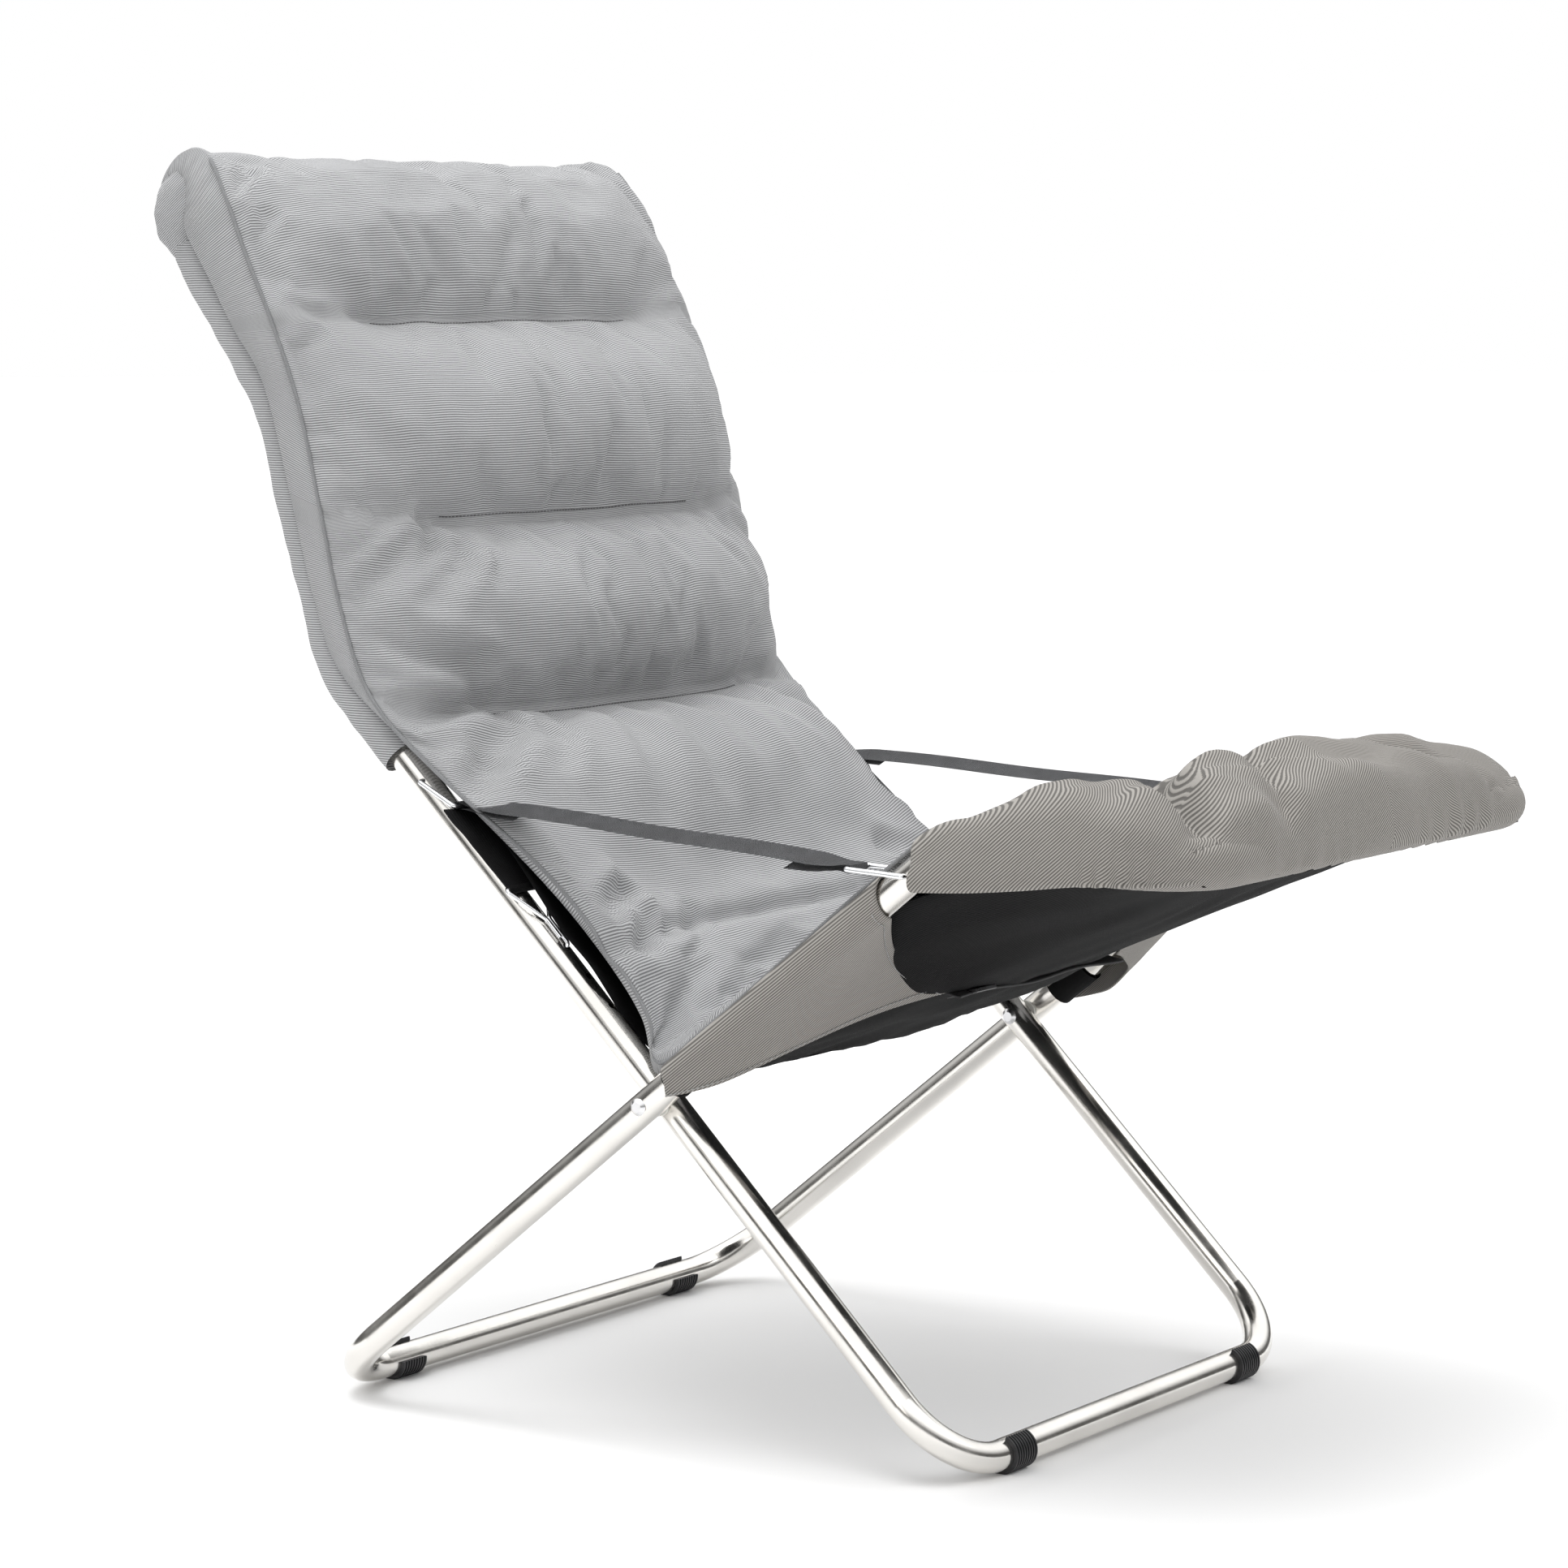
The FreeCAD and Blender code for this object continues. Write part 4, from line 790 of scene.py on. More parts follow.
def rounded(corners, radii, step=0.006):
    """Points along straight runs whose corners are tangent arcs."""
    points = [corners[0]]
    for before, corner, after, radius in zip(corners, corners[1:], corners[2:], radii):
        back_way = (before - corner).normalized()
        ahead_way = (after - corner).normalized()
        half_turn = (math.pi - back_way.angle(ahead_way)) / 2
        run = radius * math.tan(half_turn)
        centre = corner + (back_way + ahead_way).normalized() * (radius / math.cos(half_turn))
        first = corner + back_way * run - centre
        axis = first.cross(corner + ahead_way * run - centre).normalized()
        count = max(2, int(radius * 2 * half_turn / step))
        for index in range(count + 1):
            points.append(centre + Matrix.Rotation(2 * half_turn * index / count, 3, axis) @ first)
    points.append(corners[-1])
    return points


def even(points, step):
    """The same line with points an even step apart."""
    spaced = [points[0]]
    left = step
    for start, end in zip(points, points[1:]):
        length = (end - start).length
        spot = left
        while spot < length:
            spaced.append(start.lerp(end, spot / length))
            spot += step
        left = spot - length
    spaced.append(points[-1])
    return spaced


def round_bar(name, points, radius, material, resolution=6, caps=True):
    """A round bar along points, made as a bevelled curve and turned into a mesh."""
    line = bpy.data.curves.new(name + "_line", "CURVE")
    line.dimensions = "3D"
    line.bevel_depth = radius
    line.bevel_resolution = resolution
    line.use_fill_caps = caps
    spline = line.splines.new("POLY")
    spline.points.add(len(points) - 1)
    for place_on, point in zip(spline.points, points):
        place_on.co = (*point, 1)
    holder = bpy.data.objects.new(name + "_line", line)
    bpy.context.scene.collection.objects.link(holder)
    bpy.context.view_layer.update()
    mesh = bpy.data.meshes.new_from_object(holder)
    bpy.data.objects.remove(holder)
    bm = bmesh.new()
    bm.from_mesh(mesh)
    bpy.data.meshes.remove(mesh)
    bmesh.ops.remove_doubles(bm, verts=bm.verts[:], dist=0.00001)
    bmesh.ops.recalc_face_normals(bm, faces=bm.faces[:])
    return shaped(name, bm, material)


def stitches(name, points, body, material=THREAD, pitch=0.0042, size=0.00045):
    """A row of sewn stitches: short threads with small gaps, along points on the cloth."""
    spots = even(points, pitch)
    bm = bmesh.new()
    for start, end in zip(spots, spots[1:]):
        along = end - start
        if along.length < pitch * 0.5:
            continue
        turned = along.to_track_quat("Z", "Y").to_matrix().to_4x4()
        bmesh.ops.create_cone(
            bm,
            cap_ends=True,
            segments=5,
            radius1=size,
            radius2=size,
            depth=along.length * 0.68,
            matrix=Matrix.Translation((start + end) / 2) @ turned,
        )
    piece = shaped(name, bm, material)
    if isinstance(body, str):
        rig.ride(piece, body)
    return piece


def sheet_facts(piece):
    """Flat width, length and area of a thin closed sheet, from its UV map and its surface."""
    uvs = [loop.uv for loop in piece.data.uv_layers["UVMap"].data]
    width = max(uv.x for uv in uvs) - min(uv.x for uv in uvs)
    length = max(uv.y for uv in uvs) - min(uv.y for uv in uvs)
    area = sum(polygon.area for polygon in piece.data.polygons) / 2
    grow = max(1.0, math.sqrt(area / (width * length)))
    return (width * grow, length * grow), area


def lay_ribs(piece):
    """UV map in metres for cloth cut askew: the ribs run diagonally whatever way the cloth is folded."""
    uvs = piece.data.uv_layers["UVMap"].data
    for polygon in piece.data.polygons:
        for loop_index in polygon.loop_indices:
            spot = piece.data.vertices[piece.data.loops[loop_index].vertex_index].co
            uvs[loop_index].uv = (
                0.8 * spot.x - 0.6 * spot.y - 0.3 * spot.z,
                0.62 * abs(spot.x) + 0.72 * spot.y + 0.95 * spot.z,
            )


def stand_in(piece, body, node, slot):
    """Ride a piece on a body, in place of a CAD node, with the finish of a slot."""
    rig.ride(piece, body)
    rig.replaces(piece, node)
    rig.slot(piece, slot)


def declare_sheet(piece, held, rests_on):
    """Declare a sheet at the flat size and area of its own mesh."""
    flat, area = sheet_facts(piece)
    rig.sheet(piece, flat=flat, held=held, rests_on=rests_on, area=area)


def row_sheet(name, rows, material, columns, lengths, curve=2.2, thickness=0.0014, wrinkle=0.0012):
    """A sheet from rows of (middle, side, half width), sagging from its sides to its middle."""
    middles = [row[0] for row in rows]
    edges = [row[1] for row in rows]
    halves = [Vector((row[2], 0, 0)) for row in rows]

    def spot(across, along):
        side = 2 * across - 1
        middle = spline_value(middles, along)
        edge = spline_value(edges, along)
        point = middle + (edge - middle) * abs(side) ** curve
        ruffle = noise.noise(Vector((side * 3.0, along * 6.0, 5.5))) + 0.5 * noise.noise(
            Vector((side * 9.0, along * 11.0, 1.5))
        )
        point = point + Vector((0, 0.3, 1)) * (ruffle * wrinkle)
        point.x = side * spline_value(halves, along).x
        return point

    bm = grid_sheet(columns, lengths, spot)
    thicken(bm, thickness)
    return shaped(name, bm, material)


# ---------------- piping and seams on the cover


def follow_cover(piece):
    """Bend a piece with the cover that it is sewn to."""
    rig.blend(piece, "back_frame", "seat_frame", start=BEND_START, end=BEND_END)
    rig.slot(piece, "cover_cloth")


for side_name, column in (("right", 0), ("left", COVER_COLUMNS)):
    border = [front_index(column, row) for row in range(grid_row(4.2), COVER_LENGTHS + 1)]
    follow_cover(round_bar(f"cover_piping_{side_name}", drawn(border, 0.006), 0.0017, HEM, resolution=2))
SEAM_COLUMNS = [c for c in range(COVER_COLUMNS + 1) if abs(2 * c / COVER_COLUMNS - 1) < SEAM_END]
for seam in SEAM_ROWS:
    seam_line = drawn([front_index(column, grid_row(seam)) for column in SEAM_COLUMNS])
    lifted = [p + Vector((0, -0.0006, 0.0004)) for p in seam_line]
    follow_cover(stitches(f"cover_seam_{seam}", lifted, None, SEAM_THREAD))

# ---------------- sleeve of the cover round the back frame

SLEEVE_R = 0.0172


def back_tube_line(low_reach):
    """The back frame's tube line from one side over the top bar to the other."""
    left = [on_back(low_reach, 0, BACK_X)]
    left += [Vector((BACK_X, p.y, p.z)) for p in (LUMBAR, HEAD_BEND, TOP_BAR)]
    mirrored = [Vector((-p.x, p.y, p.z)) for p in reversed(left)]
    return even(rounded(left + mirrored, (0.12, 0.10, 0.07, 0.07, 0.10, 0.12)), 0.006)


sleeve = round_bar("cover_sleeve", back_tube_line(0.372), SLEEVE_R, COVER, resolution=8, caps=False)
for vert in sleeve.data.vertices:
    ruffle = noise.noise(vert.co * 22.0) + 0.6 * noise.noise(vert.co * 55.0)
    corner = smooth_step(vert.co.z, 0.925, 0.975) * smooth_step(abs(vert.co.x), 0.15, 0.23)
    gather = math.sin(vert.co.z * 520 + 3 * noise.noise(vert.co * 30.0)) * corner
    vert.co += vert.normal * (0.0012 + 0.0016 * ruffle + 0.0055 * corner + 0.0012 * gather)
stretched_uv = sleeve.data.uv_layers.get("UVMap") or sleeve.data.uv_layers.new(name="UVMap")
for polygon in sleeve.data.polygons:
    for loop_index in polygon.loop_indices:
        spot = sleeve.data.vertices[sleeve.data.loops[loop_index].vertex_index].co
        stretched_uv.data[loop_index].uv = (spot.x + spot.y, spot.z)
stand_in(sleeve, "back_frame", "top_pocket", "pocket_cloth")
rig.padded(sleeve, fill=0.3)

# Gathered cloth that closes each end of the roll over the top bar.
for side_name, sign in SIDES:
    tuck_mesh = bmesh.new()
    bmesh.ops.create_uvsphere(tuck_mesh, u_segments=40, v_segments=24, radius=1)
    for vert in tuck_mesh.verts:
        gather = 1 + 0.02 * math.sin(9 * math.atan2(vert.co.z, vert.co.y) + 2 * vert.co.x)
        crumple = 1 + 0.05 * noise.noise(vert.co * 2.2 + Vector((sign, 0, 0)))
        spot = vert.co * gather * crumple
        vert.co = place(0.496 + 0.029 * spot.y, 0.984 + 0.041 * spot.z, sign * (0.254 + 0.031 * spot.x))
    bmesh.ops.recalc_face_normals(tuck_mesh, faces=tuck_mesh.faces[:])
    tuck_mesh.loops.layers.uv.new("UVMap")
    tuck = shaped(f"roll_tuck_{side_name}", tuck_mesh, COVER)
    lay_ribs(tuck)
    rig.ride(tuck, "back_frame")
    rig.slot(tuck, "cover_cloth")
    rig.padded(tuck, fill=0.5)

# ---------------- front pocket

POCKET_HALF = 0.3065
POCKET_MIDDLE = -0.3795
POCKET_DEPTH = 0.1190
POCKET_RISE_MIDDLE = [Vector((0, 0, z)) for z in (0.452, 0.505, 0.537, 0.552, 0.552, 0.540)]
POCKET_RISE_SIDE = [Vector((0, 0, z)) for z in (0.508, 0.538, 0.546, 0.545, 0.536, 0.522)]
POCKET_HEM = [Vector((0, 0, z)) for z in (0.470, 0.473, 0.478, 0.484, 0.486, 0.486)]
POCKET_ROUND = 4.3
SIDE_END, POCKET_END = 1.24, 1.42
# Folds that run askew over the pocket: where across, how wide, and how far up or down.
POCKET_FOLDS = ((0.0, 0.07, -0.027), (0.20, 0.12, 0.005), (0.38, 0.05, -0.012), (0.62, 0.16, 0.008))
PLEAT_PITCH, PLEAT_DEPTH = 0.034, 0.0018
POCKET_WALL = 0.0025
TUBE_CLEARANCE = 0.0045


def pocket_point(across, along):
    """A point of the front pocket: its top, then down its sides and front to the hem, then turned in."""
    a = (2 * across - 1) * POCKET_END
    b = -1 + along * (1 + POCKET_END)
    reach = (abs(a) ** POCKET_ROUND + max(b, 0.0) ** POCKET_ROUND) ** (1 / POCKET_ROUND)
    reach = max(reach, 1e-6)
    inside = min(reach, 1.0) / reach
    side, depth = a * inside, (b * inside if b > 0 else b)
    share = min(1.0, max(0.0, (depth + 1) / 2))
    middle = spline_value(POCKET_RISE_MIDDLE, share).z
    edge = spline_value(POCKET_RISE_SIDE, share).z
    hem = spline_value(POCKET_HEM, share).z
    crest = middle + (edge - middle) * abs(side) ** 2.2
    rim = hem + (crest - hem) * 0.5
    height = rim + (crest - rim) * (1 - min(reach, 1.0) ** 15) ** 0.55
    valley = side + 0.9 - (1 - b) * 0.40
    front_part = smooth_step(b, -0.7, 0.2) * (1 - smooth_step(reach, 1.0, 1.2))
    for spot, wide, rise in POCKET_FOLDS:
        height += rise * math.exp(-(((valley - spot) / wide) ** 2)) * front_part
    height -= 0.009 * math.exp(-(((side - 0.35 - 0.3 * b) / 0.045) ** 2)) * front_part
    height += 0.006 * math.exp(-(((side + 0.90 + 0.2 * b) / 0.10) ** 2)) * smooth_step(b, -0.8, -0.3)
    height -= 0.013 * smooth_step(side, 0.35, 0.95) * front_part
    spread = 1.0
    around = math.atan2(max(b, 0.0) * 0.9, a)
    gather = smooth_step(abs(math.sin(2 * around)), 0.12, 0.7)
    if reach > 1:
        drop = min(1.0, (reach - 1) / (SIDE_END - 1))
        height = rim - (rim - hem) * math.sin(drop * math.pi / 2)
        spread = 1 + 0.014 * math.sin(math.pi * drop)
        turned = max(0.0, reach - SIDE_END) / (POCKET_END - SIDE_END)
        spread -= 0.1 * turned
        height += 0.002 * turned
    x, y = side * spread * POCKET_HALF, POCKET_MIDDLE - depth * spread * POCKET_DEPTH
    perimeter = around * 0.38
    pleat = math.sin(perimeter * 2 * math.pi / PLEAT_PITCH + 2.2 * noise.noise(Vector((perimeter * 16, 0, 0))))
    low_part = smooth_step(reach, 0.93, 1.2)
    ruffle = PLEAT_DEPTH * pleat * gather * low_part
    crumple = noise.noise(Vector((x * 13 + y * 5, y * 21, 2.0)))
    crumple_fine = noise.noise(Vector((x * 30 - y * 14, y * 38, 7.0)))
    ridge = 1 - 2 * abs(noise.noise(Vector((x * 11 + y * 9, y * 8 - x * 3, 11.0))))
    rumple = 0.009 * crumple + 0.0026 * crumple_fine + 0.007 * (0.35 + gather) * (ridge - 0.62)
    rumple *= smooth_step(b, -1.0, -0.6) * (1 - smooth_step(reach, 1.1, SIDE_END))
    point = place(y, height + rumple, x)
    outward = Vector((side, -max(depth, 0.0), 0.0))
    if outward.length > 0.2:
        point += outward.normalized() * (ruffle + 0.5 * rumple * low_part)
    point.z += 0.35 * ruffle
    return point


def clear_of_tube(bm, line, clearance):
    """Move cloth that would lie inside a tube out to its surface."""
    tree = kdtree.KDTree(len(line))
    for index, point in enumerate(line):
        tree.insert(point, index)
    tree.balance()
    for vert in bm.verts:
        centre, _, distance = tree.find(vert.co)
        if distance < clearance:
            vert.co = centre + (vert.co - centre).normalized() * clearance


SEAT_TOP_LINE = even(
    rounded(
        [
            on_seat(0.20, 0, SEAT_X),
            on_seat(0.365, 0, SEAT_X),
            Vector((SEAT_X, FRONT_BAR.y, FRONT_BAR.z)),
            Vector((-SEAT_X, FRONT_BAR.y, FRONT_BAR.z)),
            on_seat(0.365, 0, -SEAT_X),
            on_seat(0.20, 0, -SEAT_X),
        ],
        (0.06, 0.07, 0.07, 0.06),
        0.003,
    ),
    0.003,
)
pocket_mesh = grid_sheet(170, 96, pocket_point)
bmesh.ops.recalc_face_normals(pocket_mesh, faces=pocket_mesh.faces[:])
clear_of_tube(pocket_mesh, SEAT_TOP_LINE, TUBE_R + TUBE_CLEARANCE)
pocket = shaped("front_pocket", pocket_mesh, SHADED_FLAP)
wall = pocket.modifiers.new("wall", "SOLIDIFY")
wall.thickness = POCKET_WALL
wall.offset = -1
wall.use_even_offset = False
lay_ribs(pocket)
stand_in(pocket, "seat_frame", "front_hood", "side_cloth")
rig.padded(pocket, fill=0.35)

# ---------------- side flaps over the seat frame's tubes

FLAP_R = 0.0158
OVER_SHARE = 0.40
TUBE_INSIDE, TUBE_OUTSIDE, TUBE_UNDER = (math.radians(angle) for angle in (-75, 84, 172))
# The flap's lower edge, for the left side: it starts at the cross rivet and is drawn in under the seat.
FLAP_LOW = [
    Vector((x, PIVOT.y + behind, height))
    for x, behind, height in (
        (0.304, -0.028, 0.290),
        (0.302, -0.052, 0.296),
        (0.290, -0.079, 0.306),
        (0.252, -0.119, 0.330),
        (0.214, -0.139, 0.344),
        (0.174, -0.158, 0.355),
        (0.126, -0.181, 0.364),
    )
]
FLAP_REAR_REACH, FLAP_FRONT_REACH = 0.036, 0.284


def flap_point(across, along, sign):
    """A point of a side flap: over the tube, round it, and then in under the seat to its lower edge."""
    front = FLAP_FRONT_REACH + 0.022 * smooth_step(1 - across / OVER_SHARE, 0, 1)
    reach = FLAP_REAR_REACH + (front - FLAP_REAR_REACH) * along
    sag = 0.0012 * noise.noise(Vector((reach * 20, across * 4, 2.0 + sign)))
    last = TUBE_OUTSIDE + (TUBE_UNDER - TUBE_OUTSIDE) * smooth_step(along, 0.12, 0.7)
    angle = TUBE_INSIDE + (last - TUBE_INSIDE) * min(across / OVER_SHARE, 1)
    point = on_seat(reach, FLAP_R * math.cos(angle), SEAT_X + FLAP_R * math.sin(angle) + sag)
    if across > OVER_SHARE:
        share = (across - OVER_SHARE) / (1 - OVER_SHARE)
        low = spline_value(FLAP_LOW, along)
        point = point.lerp(low, share)
        bulge = math.sin(math.pi * share)
        point.z -= bulge * (0.006 * smooth_step(along, 0.1, 0.6) + 1.5 * sag)
        point.y += 0.020 * bulge * along**4
    point.x *= sign
    return point


for side_name, sign in SIDES:
    flap_mesh = grid_sheet(60, 80, lambda across, along: flap_point(across, along, sign))
    bmesh.ops.recalc_face_normals(flap_mesh, faces=flap_mesh.faces[:])
    thicken(flap_mesh, 0.0016)
    flap = shaped(f"side_flap_{side_name}", flap_mesh, SHADED_FLAP)
    stand_in(flap, "seat_frame", f"side_wrap_{side_name}", "side_cloth")
    declare_sheet(flap, "stretched", ["seat_leg_tube", "seat_front_tube"])
    lay_ribs(flap)
    hem_lines = {
        "low": [flap_point(0.94, i / 60, sign) for i in range(61)],
        "front": [flap_point(0.3 + 0.7 * i / 40, 0.97, sign) for i in range(41)],
    }
    for edge_name, hem_line in hem_lines.items():
        lifted = [p + Vector((sign * 0.0012, 0, -0.0008)) for p in hem_line]
        stitches(f"flap_stitches_{edge_name}_{side_name}", lifted, "seat_frame")

# ---------------- black slings

back_rows = [
    (on_back(0.300, 0.011), on_back(0.300, 0.012), 0.243),
    (on_back(0.440, 0.008), on_back(0.440, 0.012), 0.246),
    (on_line(LUMBAR, RISE_ANGLE, 0.06, 0.005, 0), on_line(LUMBAR, RISE_ANGLE, 0.06, 0.010, 0), 0.247),
    (on_line(LUMBAR, RISE_ANGLE, 0.18, 0.004, 0), on_line(LUMBAR, RISE_ANGLE, 0.18, 0.010, 0), 0.247),
    (on_line(HEAD_BEND, HEAD_ANGLE, 0.04, 0.004, 0), on_line(HEAD_BEND, HEAD_ANGLE, 0.04, 0.010, 0), 0.247),
    (on_line(HEAD_BEND, HEAD_ANGLE, 0.14, 0.006, 0), on_line(HEAD_BEND, HEAD_ANGLE, 0.14, 0.010, 0), 0.244),
]
back_sling = row_sheet("sling_back", back_rows, SLING, 50, 70)
stand_in(back_sling, "back_frame", "back_sling", "sling_cloth")
declare_sheet(back_sling, "stretched", ["back_head_tube", "back_leg_tube"])

hammock_rows = [
    (on_back(0.305, 0.011), on_back(0.308, 0.012), 0.243),
    (place(0.150, 0.410), place(0.156, 0.468), 0.262),
    (place(0.095, 0.335), place(0.103, 0.414), 0.270),
    (place(0.060, 0.301), place(0.070, 0.382), 0.270),
    (place(0.028, 0.283), place(0.038, 0.329), 0.254),
    (place(-0.010, 0.290), place(-0.002, 0.300), 0.248),
]
hammock = row_sheet("sling_hammock", hammock_rows, SLING, 50, 44)
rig.blend(hammock, "back_frame", "seat_frame", start=BEND_START, end=BEND_END)
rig.replaces(hammock, "hammock_sling")
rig.slot(hammock, "sling_cloth")
declare_sheet(hammock, "hung", ["sling_back", "sling_seat"])

seat_rows = [
    (place(-0.008, 0.289), place(-0.002, 0.299), 0.248),
    (place(-0.041, 0.304), place(-0.045, 0.321), 0.258),
    (place(-0.113, 0.329), on_seat(0.13, 0.0), 0.274),
    (place(-0.184, 0.362), on_seat(0.20, 0.0), 0.275),
    (place(-0.235, 0.384), on_seat(0.27, 0.0), 0.276),
    (place(-0.330, 0.424), place(-0.335, 0.482), 0.280),
    (place(-0.400, 0.458), place(-0.405, 0.490), 0.280),
    (place(-0.462, 0.484), place(-0.462, 0.488), 0.270),
    (place(-0.484, 0.481), place(-0.484, 0.484), 0.262),
]
seat_sling = row_sheet("sling_seat", seat_rows, SLING, 60, 70, curve=2.6, wrinkle=0.004)
stand_in(seat_sling, "seat_frame", "seat_sling", "sling_cloth")
declare_sheet(seat_sling, "hung", ["seat_leg_tube", "seat_front_tube"])

HOOK_BASE = 0.213
WING_TOP = 0.302


def wing_point(across, along, sign):
    """A point of the sling's side wing, from under the cover down to the hook's base bar."""
    inner = 0.205 + (0.2385 - 0.205) * smooth_step(along, 0, 1)
    outer = 0.2865 + (0.284 - 0.2865) * along
    reach = WING_TOP + (HOOK_BASE - WING_TOP) * along
    reach -= 0.012 * (1 - across) * (1 - along)
    above = 0.0145 + 0.0015 * along + 0.0015 * noise.noise(Vector((across * 3, along * 4, sign)))
    return on_back(reach, above, sign * (inner + (outer - inner) * across))


for side_name, sign in SIDES:
    wing_mesh = grid_sheet(20, 30, lambda across, along: wing_point(across, along, sign))
    thicken(wing_mesh, 0.0016)
    wing = shaped(f"sling_wing_cloth_{side_name}", wing_mesh, SLING)
    stand_in(wing, "back_frame", f"sling_wing_{side_name}", "sling_cloth")
    declare_sheet(wing, "stretched", [f"sling_hook_{side_name}", "back_leg_tube"])
    hem_bar = [on_back(HOOK_BASE, 0.0155, sign * x) for x in (0.2395, 0.250, 0.262, 0.274, 0.2845)]
    hem = round_bar(f"wing_hem_{side_name}", hem_bar, 0.0034, SLING, resolution=5)
    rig.ride(hem, "back_frame")

# ---------------- arm straps

STRAP_HALF = 0.012
WEB = 0.0021
EYE = 0.0036
FOLD_BACK = 0.062
STRAP_TILT = 0.30
REAR_EYE = on_back(0.301, 0.018, 0)
FRONT_EYE = on_seat(0.281, 0.034, 0)


def strap_profile():
    """Middle line of the webbing in the side plane: folded back, round each link, and between them."""
    along = (FRONT_EYE - REAR_EYE).normalized()
    above = Vector((1, 0, 0)).cross(along) * -1
    if above.z < 0:
        above = -above
    span = (FRONT_EYE - REAR_EYE).length
    line = [REAR_EYE + along * FOLD_BACK - above * EYE * 0.36]
    line.append(REAR_EYE + along * EYE * 1.8 - above * EYE * 0.4)
    for degrees in range(-60, -301, -30):
        turned = math.radians(degrees)
        line.append(REAR_EYE + (along * math.cos(turned) + above * math.sin(turned)) * EYE)
    steps = 28
    for index in range(1, steps):
        share = index / steps
        sway = 0.0012 * math.sin(share * 9.0) * math.sin(math.pi * share)
        lift = EYE * 0.36 + 0.002 * math.sin(math.pi * share) + sway
        line.append(REAR_EYE + along * (span * share) + above * lift)
    for degrees in range(120, -121, -30):
        turned = math.radians(degrees)
        line.append(FRONT_EYE + (along * math.cos(turned) + above * math.sin(turned)) * EYE)
    line.append(FRONT_EYE - along * EYE * 1.8 - above * EYE * 0.5)
    line.append(FRONT_EYE - along * FOLD_BACK - above * EYE * 1.1)
    return line, along


STRAP_LINE, STRAP_ALONG = strap_profile()
STRAP_SPAN = (FRONT_EYE - REAR_EYE).length
END_LENGTH = 0.085


def strap_mesh(x):
    """The whole strap as a strip of webbing across x."""
    bm = bmesh.new()
    rows = []
    for point in even(STRAP_LINE, 0.0045):
        rows.append([bm.verts.new((edge, point.y, point.z)) for edge in (x - STRAP_HALF, x + STRAP_HALF)])
    for first, second in zip(rows, rows[1:]):
        bm.faces.new((first[0], second[0], second[1], first[1]))
    bmesh.ops.solidify(bm, geom=bm.faces[:], thickness=WEB)
    bmesh.ops.recalc_face_normals(bm, faces=bm.faces[:])
    return bm


for side_name, sign in SIDES:
    x = sign * (BACK_X + SEAT_X) / 2
    lean = (SEAT_X - BACK_X) * sign
    front_cut = STRAP_SPAN - END_LENGTH
    cuts = {"rear": (None, END_LENGTH), "middle": (END_LENGTH, front_cut), "front": (front_cut, None)}
    strap_pieces = {}
    for part_name, (start, end) in cuts.items():
        bm = strap_mesh(x)
        for limit, keeps in ((start, 1), (end, -1)):
            if limit is not None:
                geometry = bm.verts[:] + bm.edges[:] + bm.faces[:]
                cut = bmesh.ops.bisect_plane(
                    bm,
                    geom=geometry,
                    plane_co=REAR_EYE + STRAP_ALONG * limit,
                    plane_no=STRAP_ALONG * keeps,
                    clear_inner=True,
                )
                edges = [item for item in cut["geom_cut"] if isinstance(item, bmesh.types.BMEdge)]
                bmesh.ops.holes_fill(bm, edges=edges)
        for vert in bm.verts:
            share = (vert.co - REAR_EYE).dot(STRAP_ALONG) / STRAP_SPAN
            tilt = STRAP_TILT * smooth_step(share, 0.0, 0.12) * (1 - smooth_step(share, 0.9, 1.0))
            vert.co.z += (vert.co.x - x) * tilt
            vert.co.x += lean * (min(1.0, max(0.0, share)) - 0.5)
        strap_pieces[part_name] = shaped(f"arm_strap_{part_name}_{side_name}", bm, WEBBING, smooth=False)
    spots = [REAR_EYE + STRAP_ALONG * limit for limit in (0.0, END_LENGTH, front_cut, STRAP_SPAN)]
    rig.blend(strap_pieces["rear"], f"arm_link_rear_{side_name}", "back_frame", start=spots[0], end=spots[1])
    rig.blend(strap_pieces["middle"], "back_frame", "seat_frame", start=spots[1], end=spots[2])
    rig.blend(strap_pieces["front"], "seat_frame", f"arm_link_front_{side_name}", start=spots[2], end=spots[3])
    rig.replaces(strap_pieces["middle"], f"arm_strap_{side_name}")
    for piece in strap_pieces.values():
        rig.slot(piece, "strap_webbing")

# ---------------- sling tabs and the strap under the seat

TAB_R = 0.0143
TAB_LENGTH = 0.040
for side_name, sign in SIDES:
    tab_line = [on_seat(0.034 + TAB_LENGTH * i / 20, 0, sign * SEAT_X) for i in range(21)]
    tab = round_bar(f"sling_tab_cloth_{side_name}", tab_line, TAB_R, SLING, resolution=8, caps=False)
    for vert in tab.data.vertices:
        vert.co += vert.normal * (0.0006 + 0.0008 * noise.noise(vert.co * 60.0))
    stand_in(tab, "seat_frame", f"sling_tab_{side_name}", "sling_cloth")
    around = 2 * math.pi * (TAB_R + 0.0006)
    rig.sheet(tab, flat=(around, TAB_LENGTH), held="stretched", rests_on=["seat_leg_tube"])

UNDER_HALF = 0.0125
UNDER_ENDS = 0.128
UNDER_PLACE = place(-0.176, 0.3605)


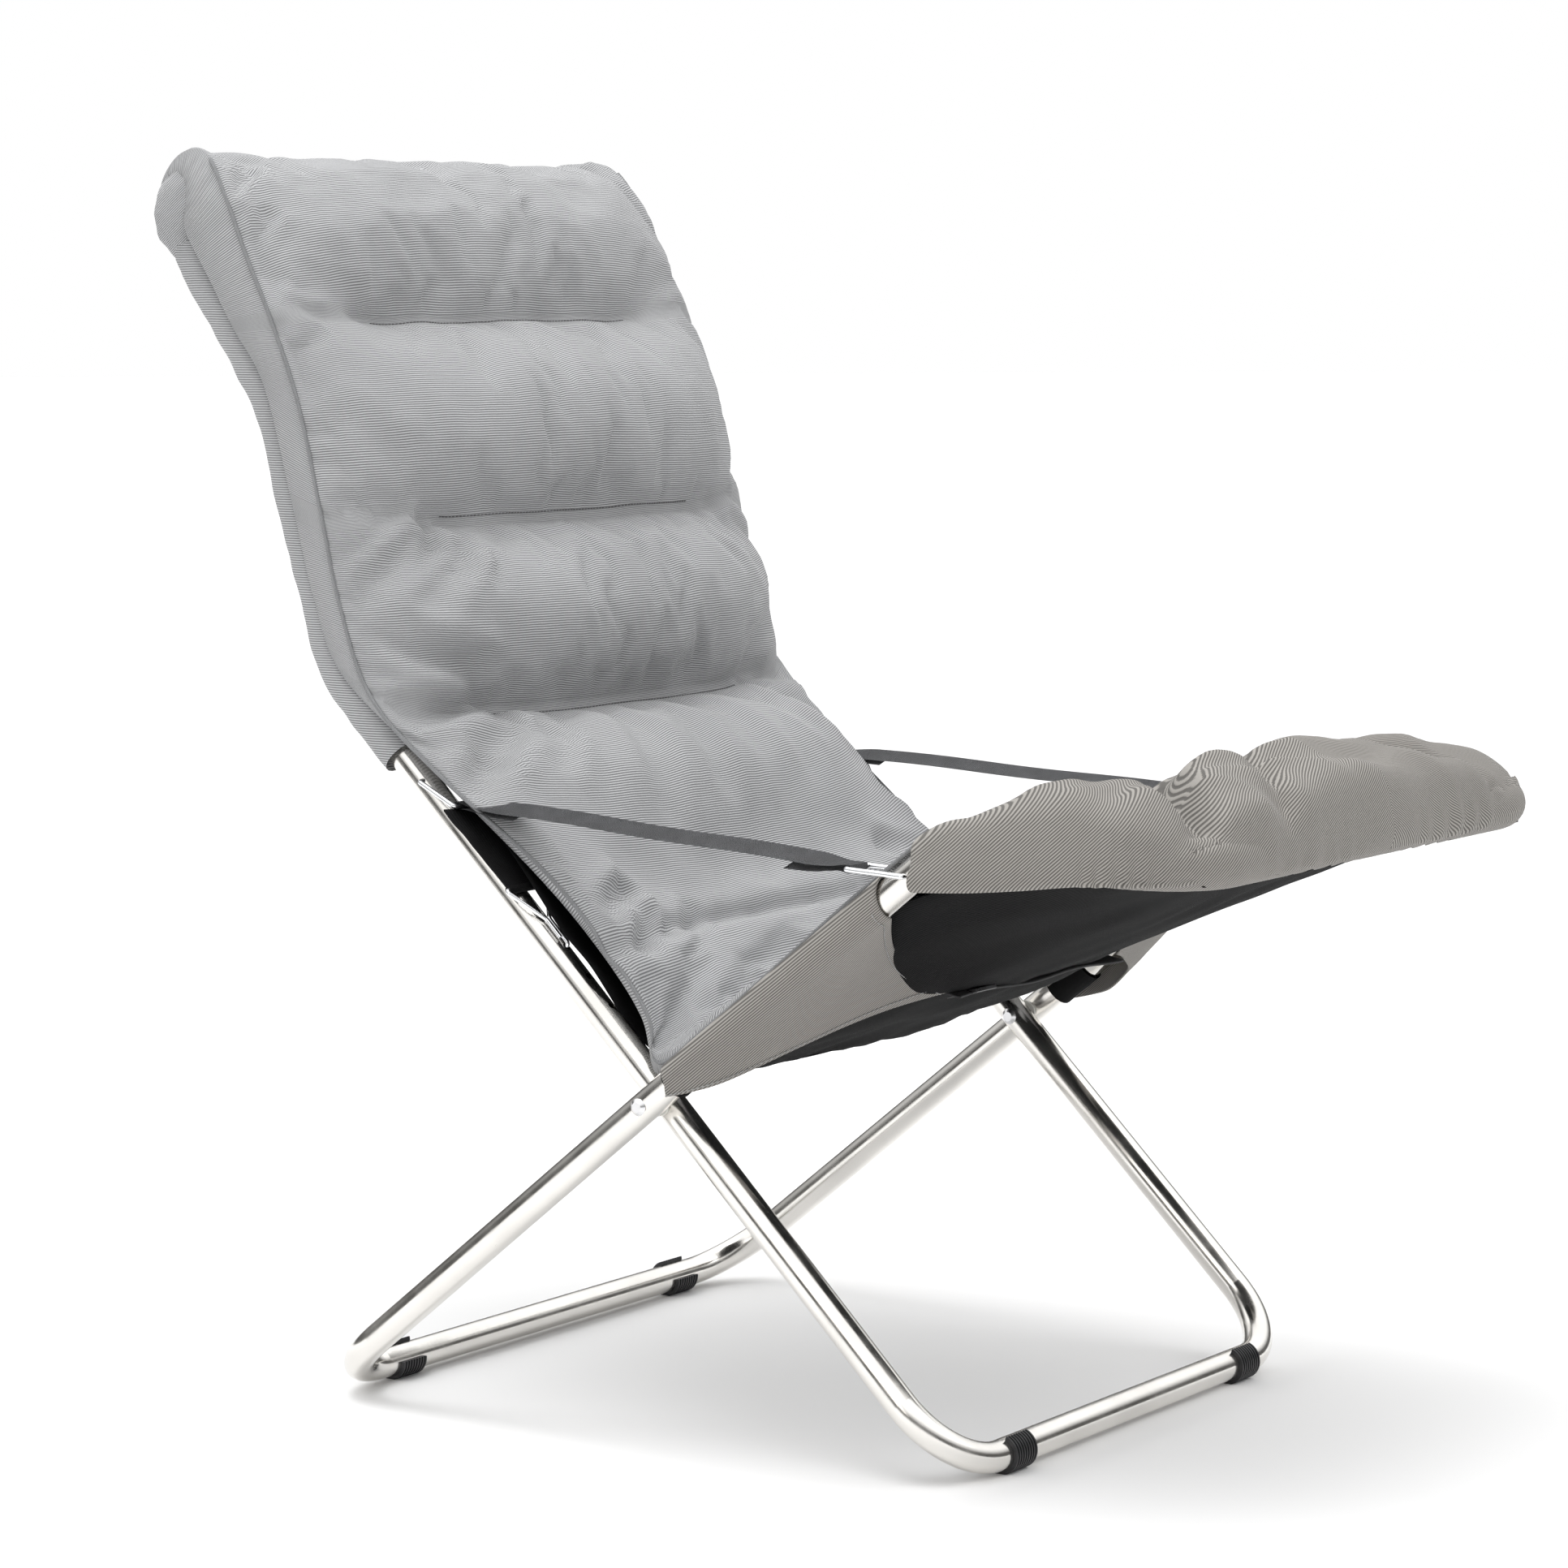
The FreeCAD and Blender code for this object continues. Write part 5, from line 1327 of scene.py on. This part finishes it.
def under_strap_point(across, along):
    """The thin strap that draws the side flaps together under the seat."""
    x = UNDER_ENDS * (2 * along - 1)
    wave = 0.0015 * math.sin(along * 11)
    height = UNDER_PLACE.z + 0.005 * (1 - across) + wave
    return Vector((x, UNDER_PLACE.y + UNDER_HALF * (1 - 2 * across), height))


under_mesh = grid_sheet(6, 90, under_strap_point)
thicken(under_mesh, 0.0018)
under_tape = shaped("under_strap_tape", under_mesh, BLACK_TAPE)
stand_in(under_tape, "seat_frame", "under_strap", "strap_black")

BUCKLE_SIZE = (0.030, 0.034)
BUCKLE_THICKNESS = 0.0036
BUCKLE_TILT = math.radians(-14)
BUCKLE_SPOT = UNDER_PLACE + Vector((-0.095, 0, 0.0006))
buckle_mesh = bmesh.new()
bmesh.ops.create_grid(buckle_mesh, x_segments=3, y_segments=3, size=0.5)
centres = [(face, face.calc_center_median()) for face in buckle_mesh.faces]
inner_faces = [face for face, centre in centres if abs(centre.x) > 0.1 and abs(centre.y) < 0.1]
bmesh.ops.delete(buckle_mesh, geom=inner_faces, context="FACES_ONLY")
bmesh.ops.scale(buckle_mesh, vec=(*BUCKLE_SIZE, 1), verts=buckle_mesh.verts[:])
bmesh.ops.solidify(buckle_mesh, geom=buckle_mesh.faces[:], thickness=BUCKLE_THICKNESS)
bmesh.ops.recalc_face_normals(buckle_mesh, faces=buckle_mesh.faces[:])
bmesh.ops.bevel(
    buckle_mesh,
    geom=buckle_mesh.edges[:],
    offset=0.0007,
    segments=2,
    affect="EDGES",
    profile=0.5,
    material=-1,
)
bmesh.ops.rotate(buckle_mesh, matrix=Matrix.Rotation(BUCKLE_TILT, 3, "X"), verts=buckle_mesh.verts[:])
bmesh.ops.translate(buckle_mesh, vec=BUCKLE_SPOT, verts=buckle_mesh.verts[:])
slide_buckle = shaped("slide_buckle", buckle_mesh, BUCKLE, smooth=False)
stand_in(slide_buckle, "seat_frame", "strap_buckle", "buckle_plastic")

low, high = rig.bounds()
with open("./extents.json", "w") as sizes:
    json.dump({"cad": [list(cad_low), list(cad_high)], "visual": [list(low), list(high)]}, sizes)
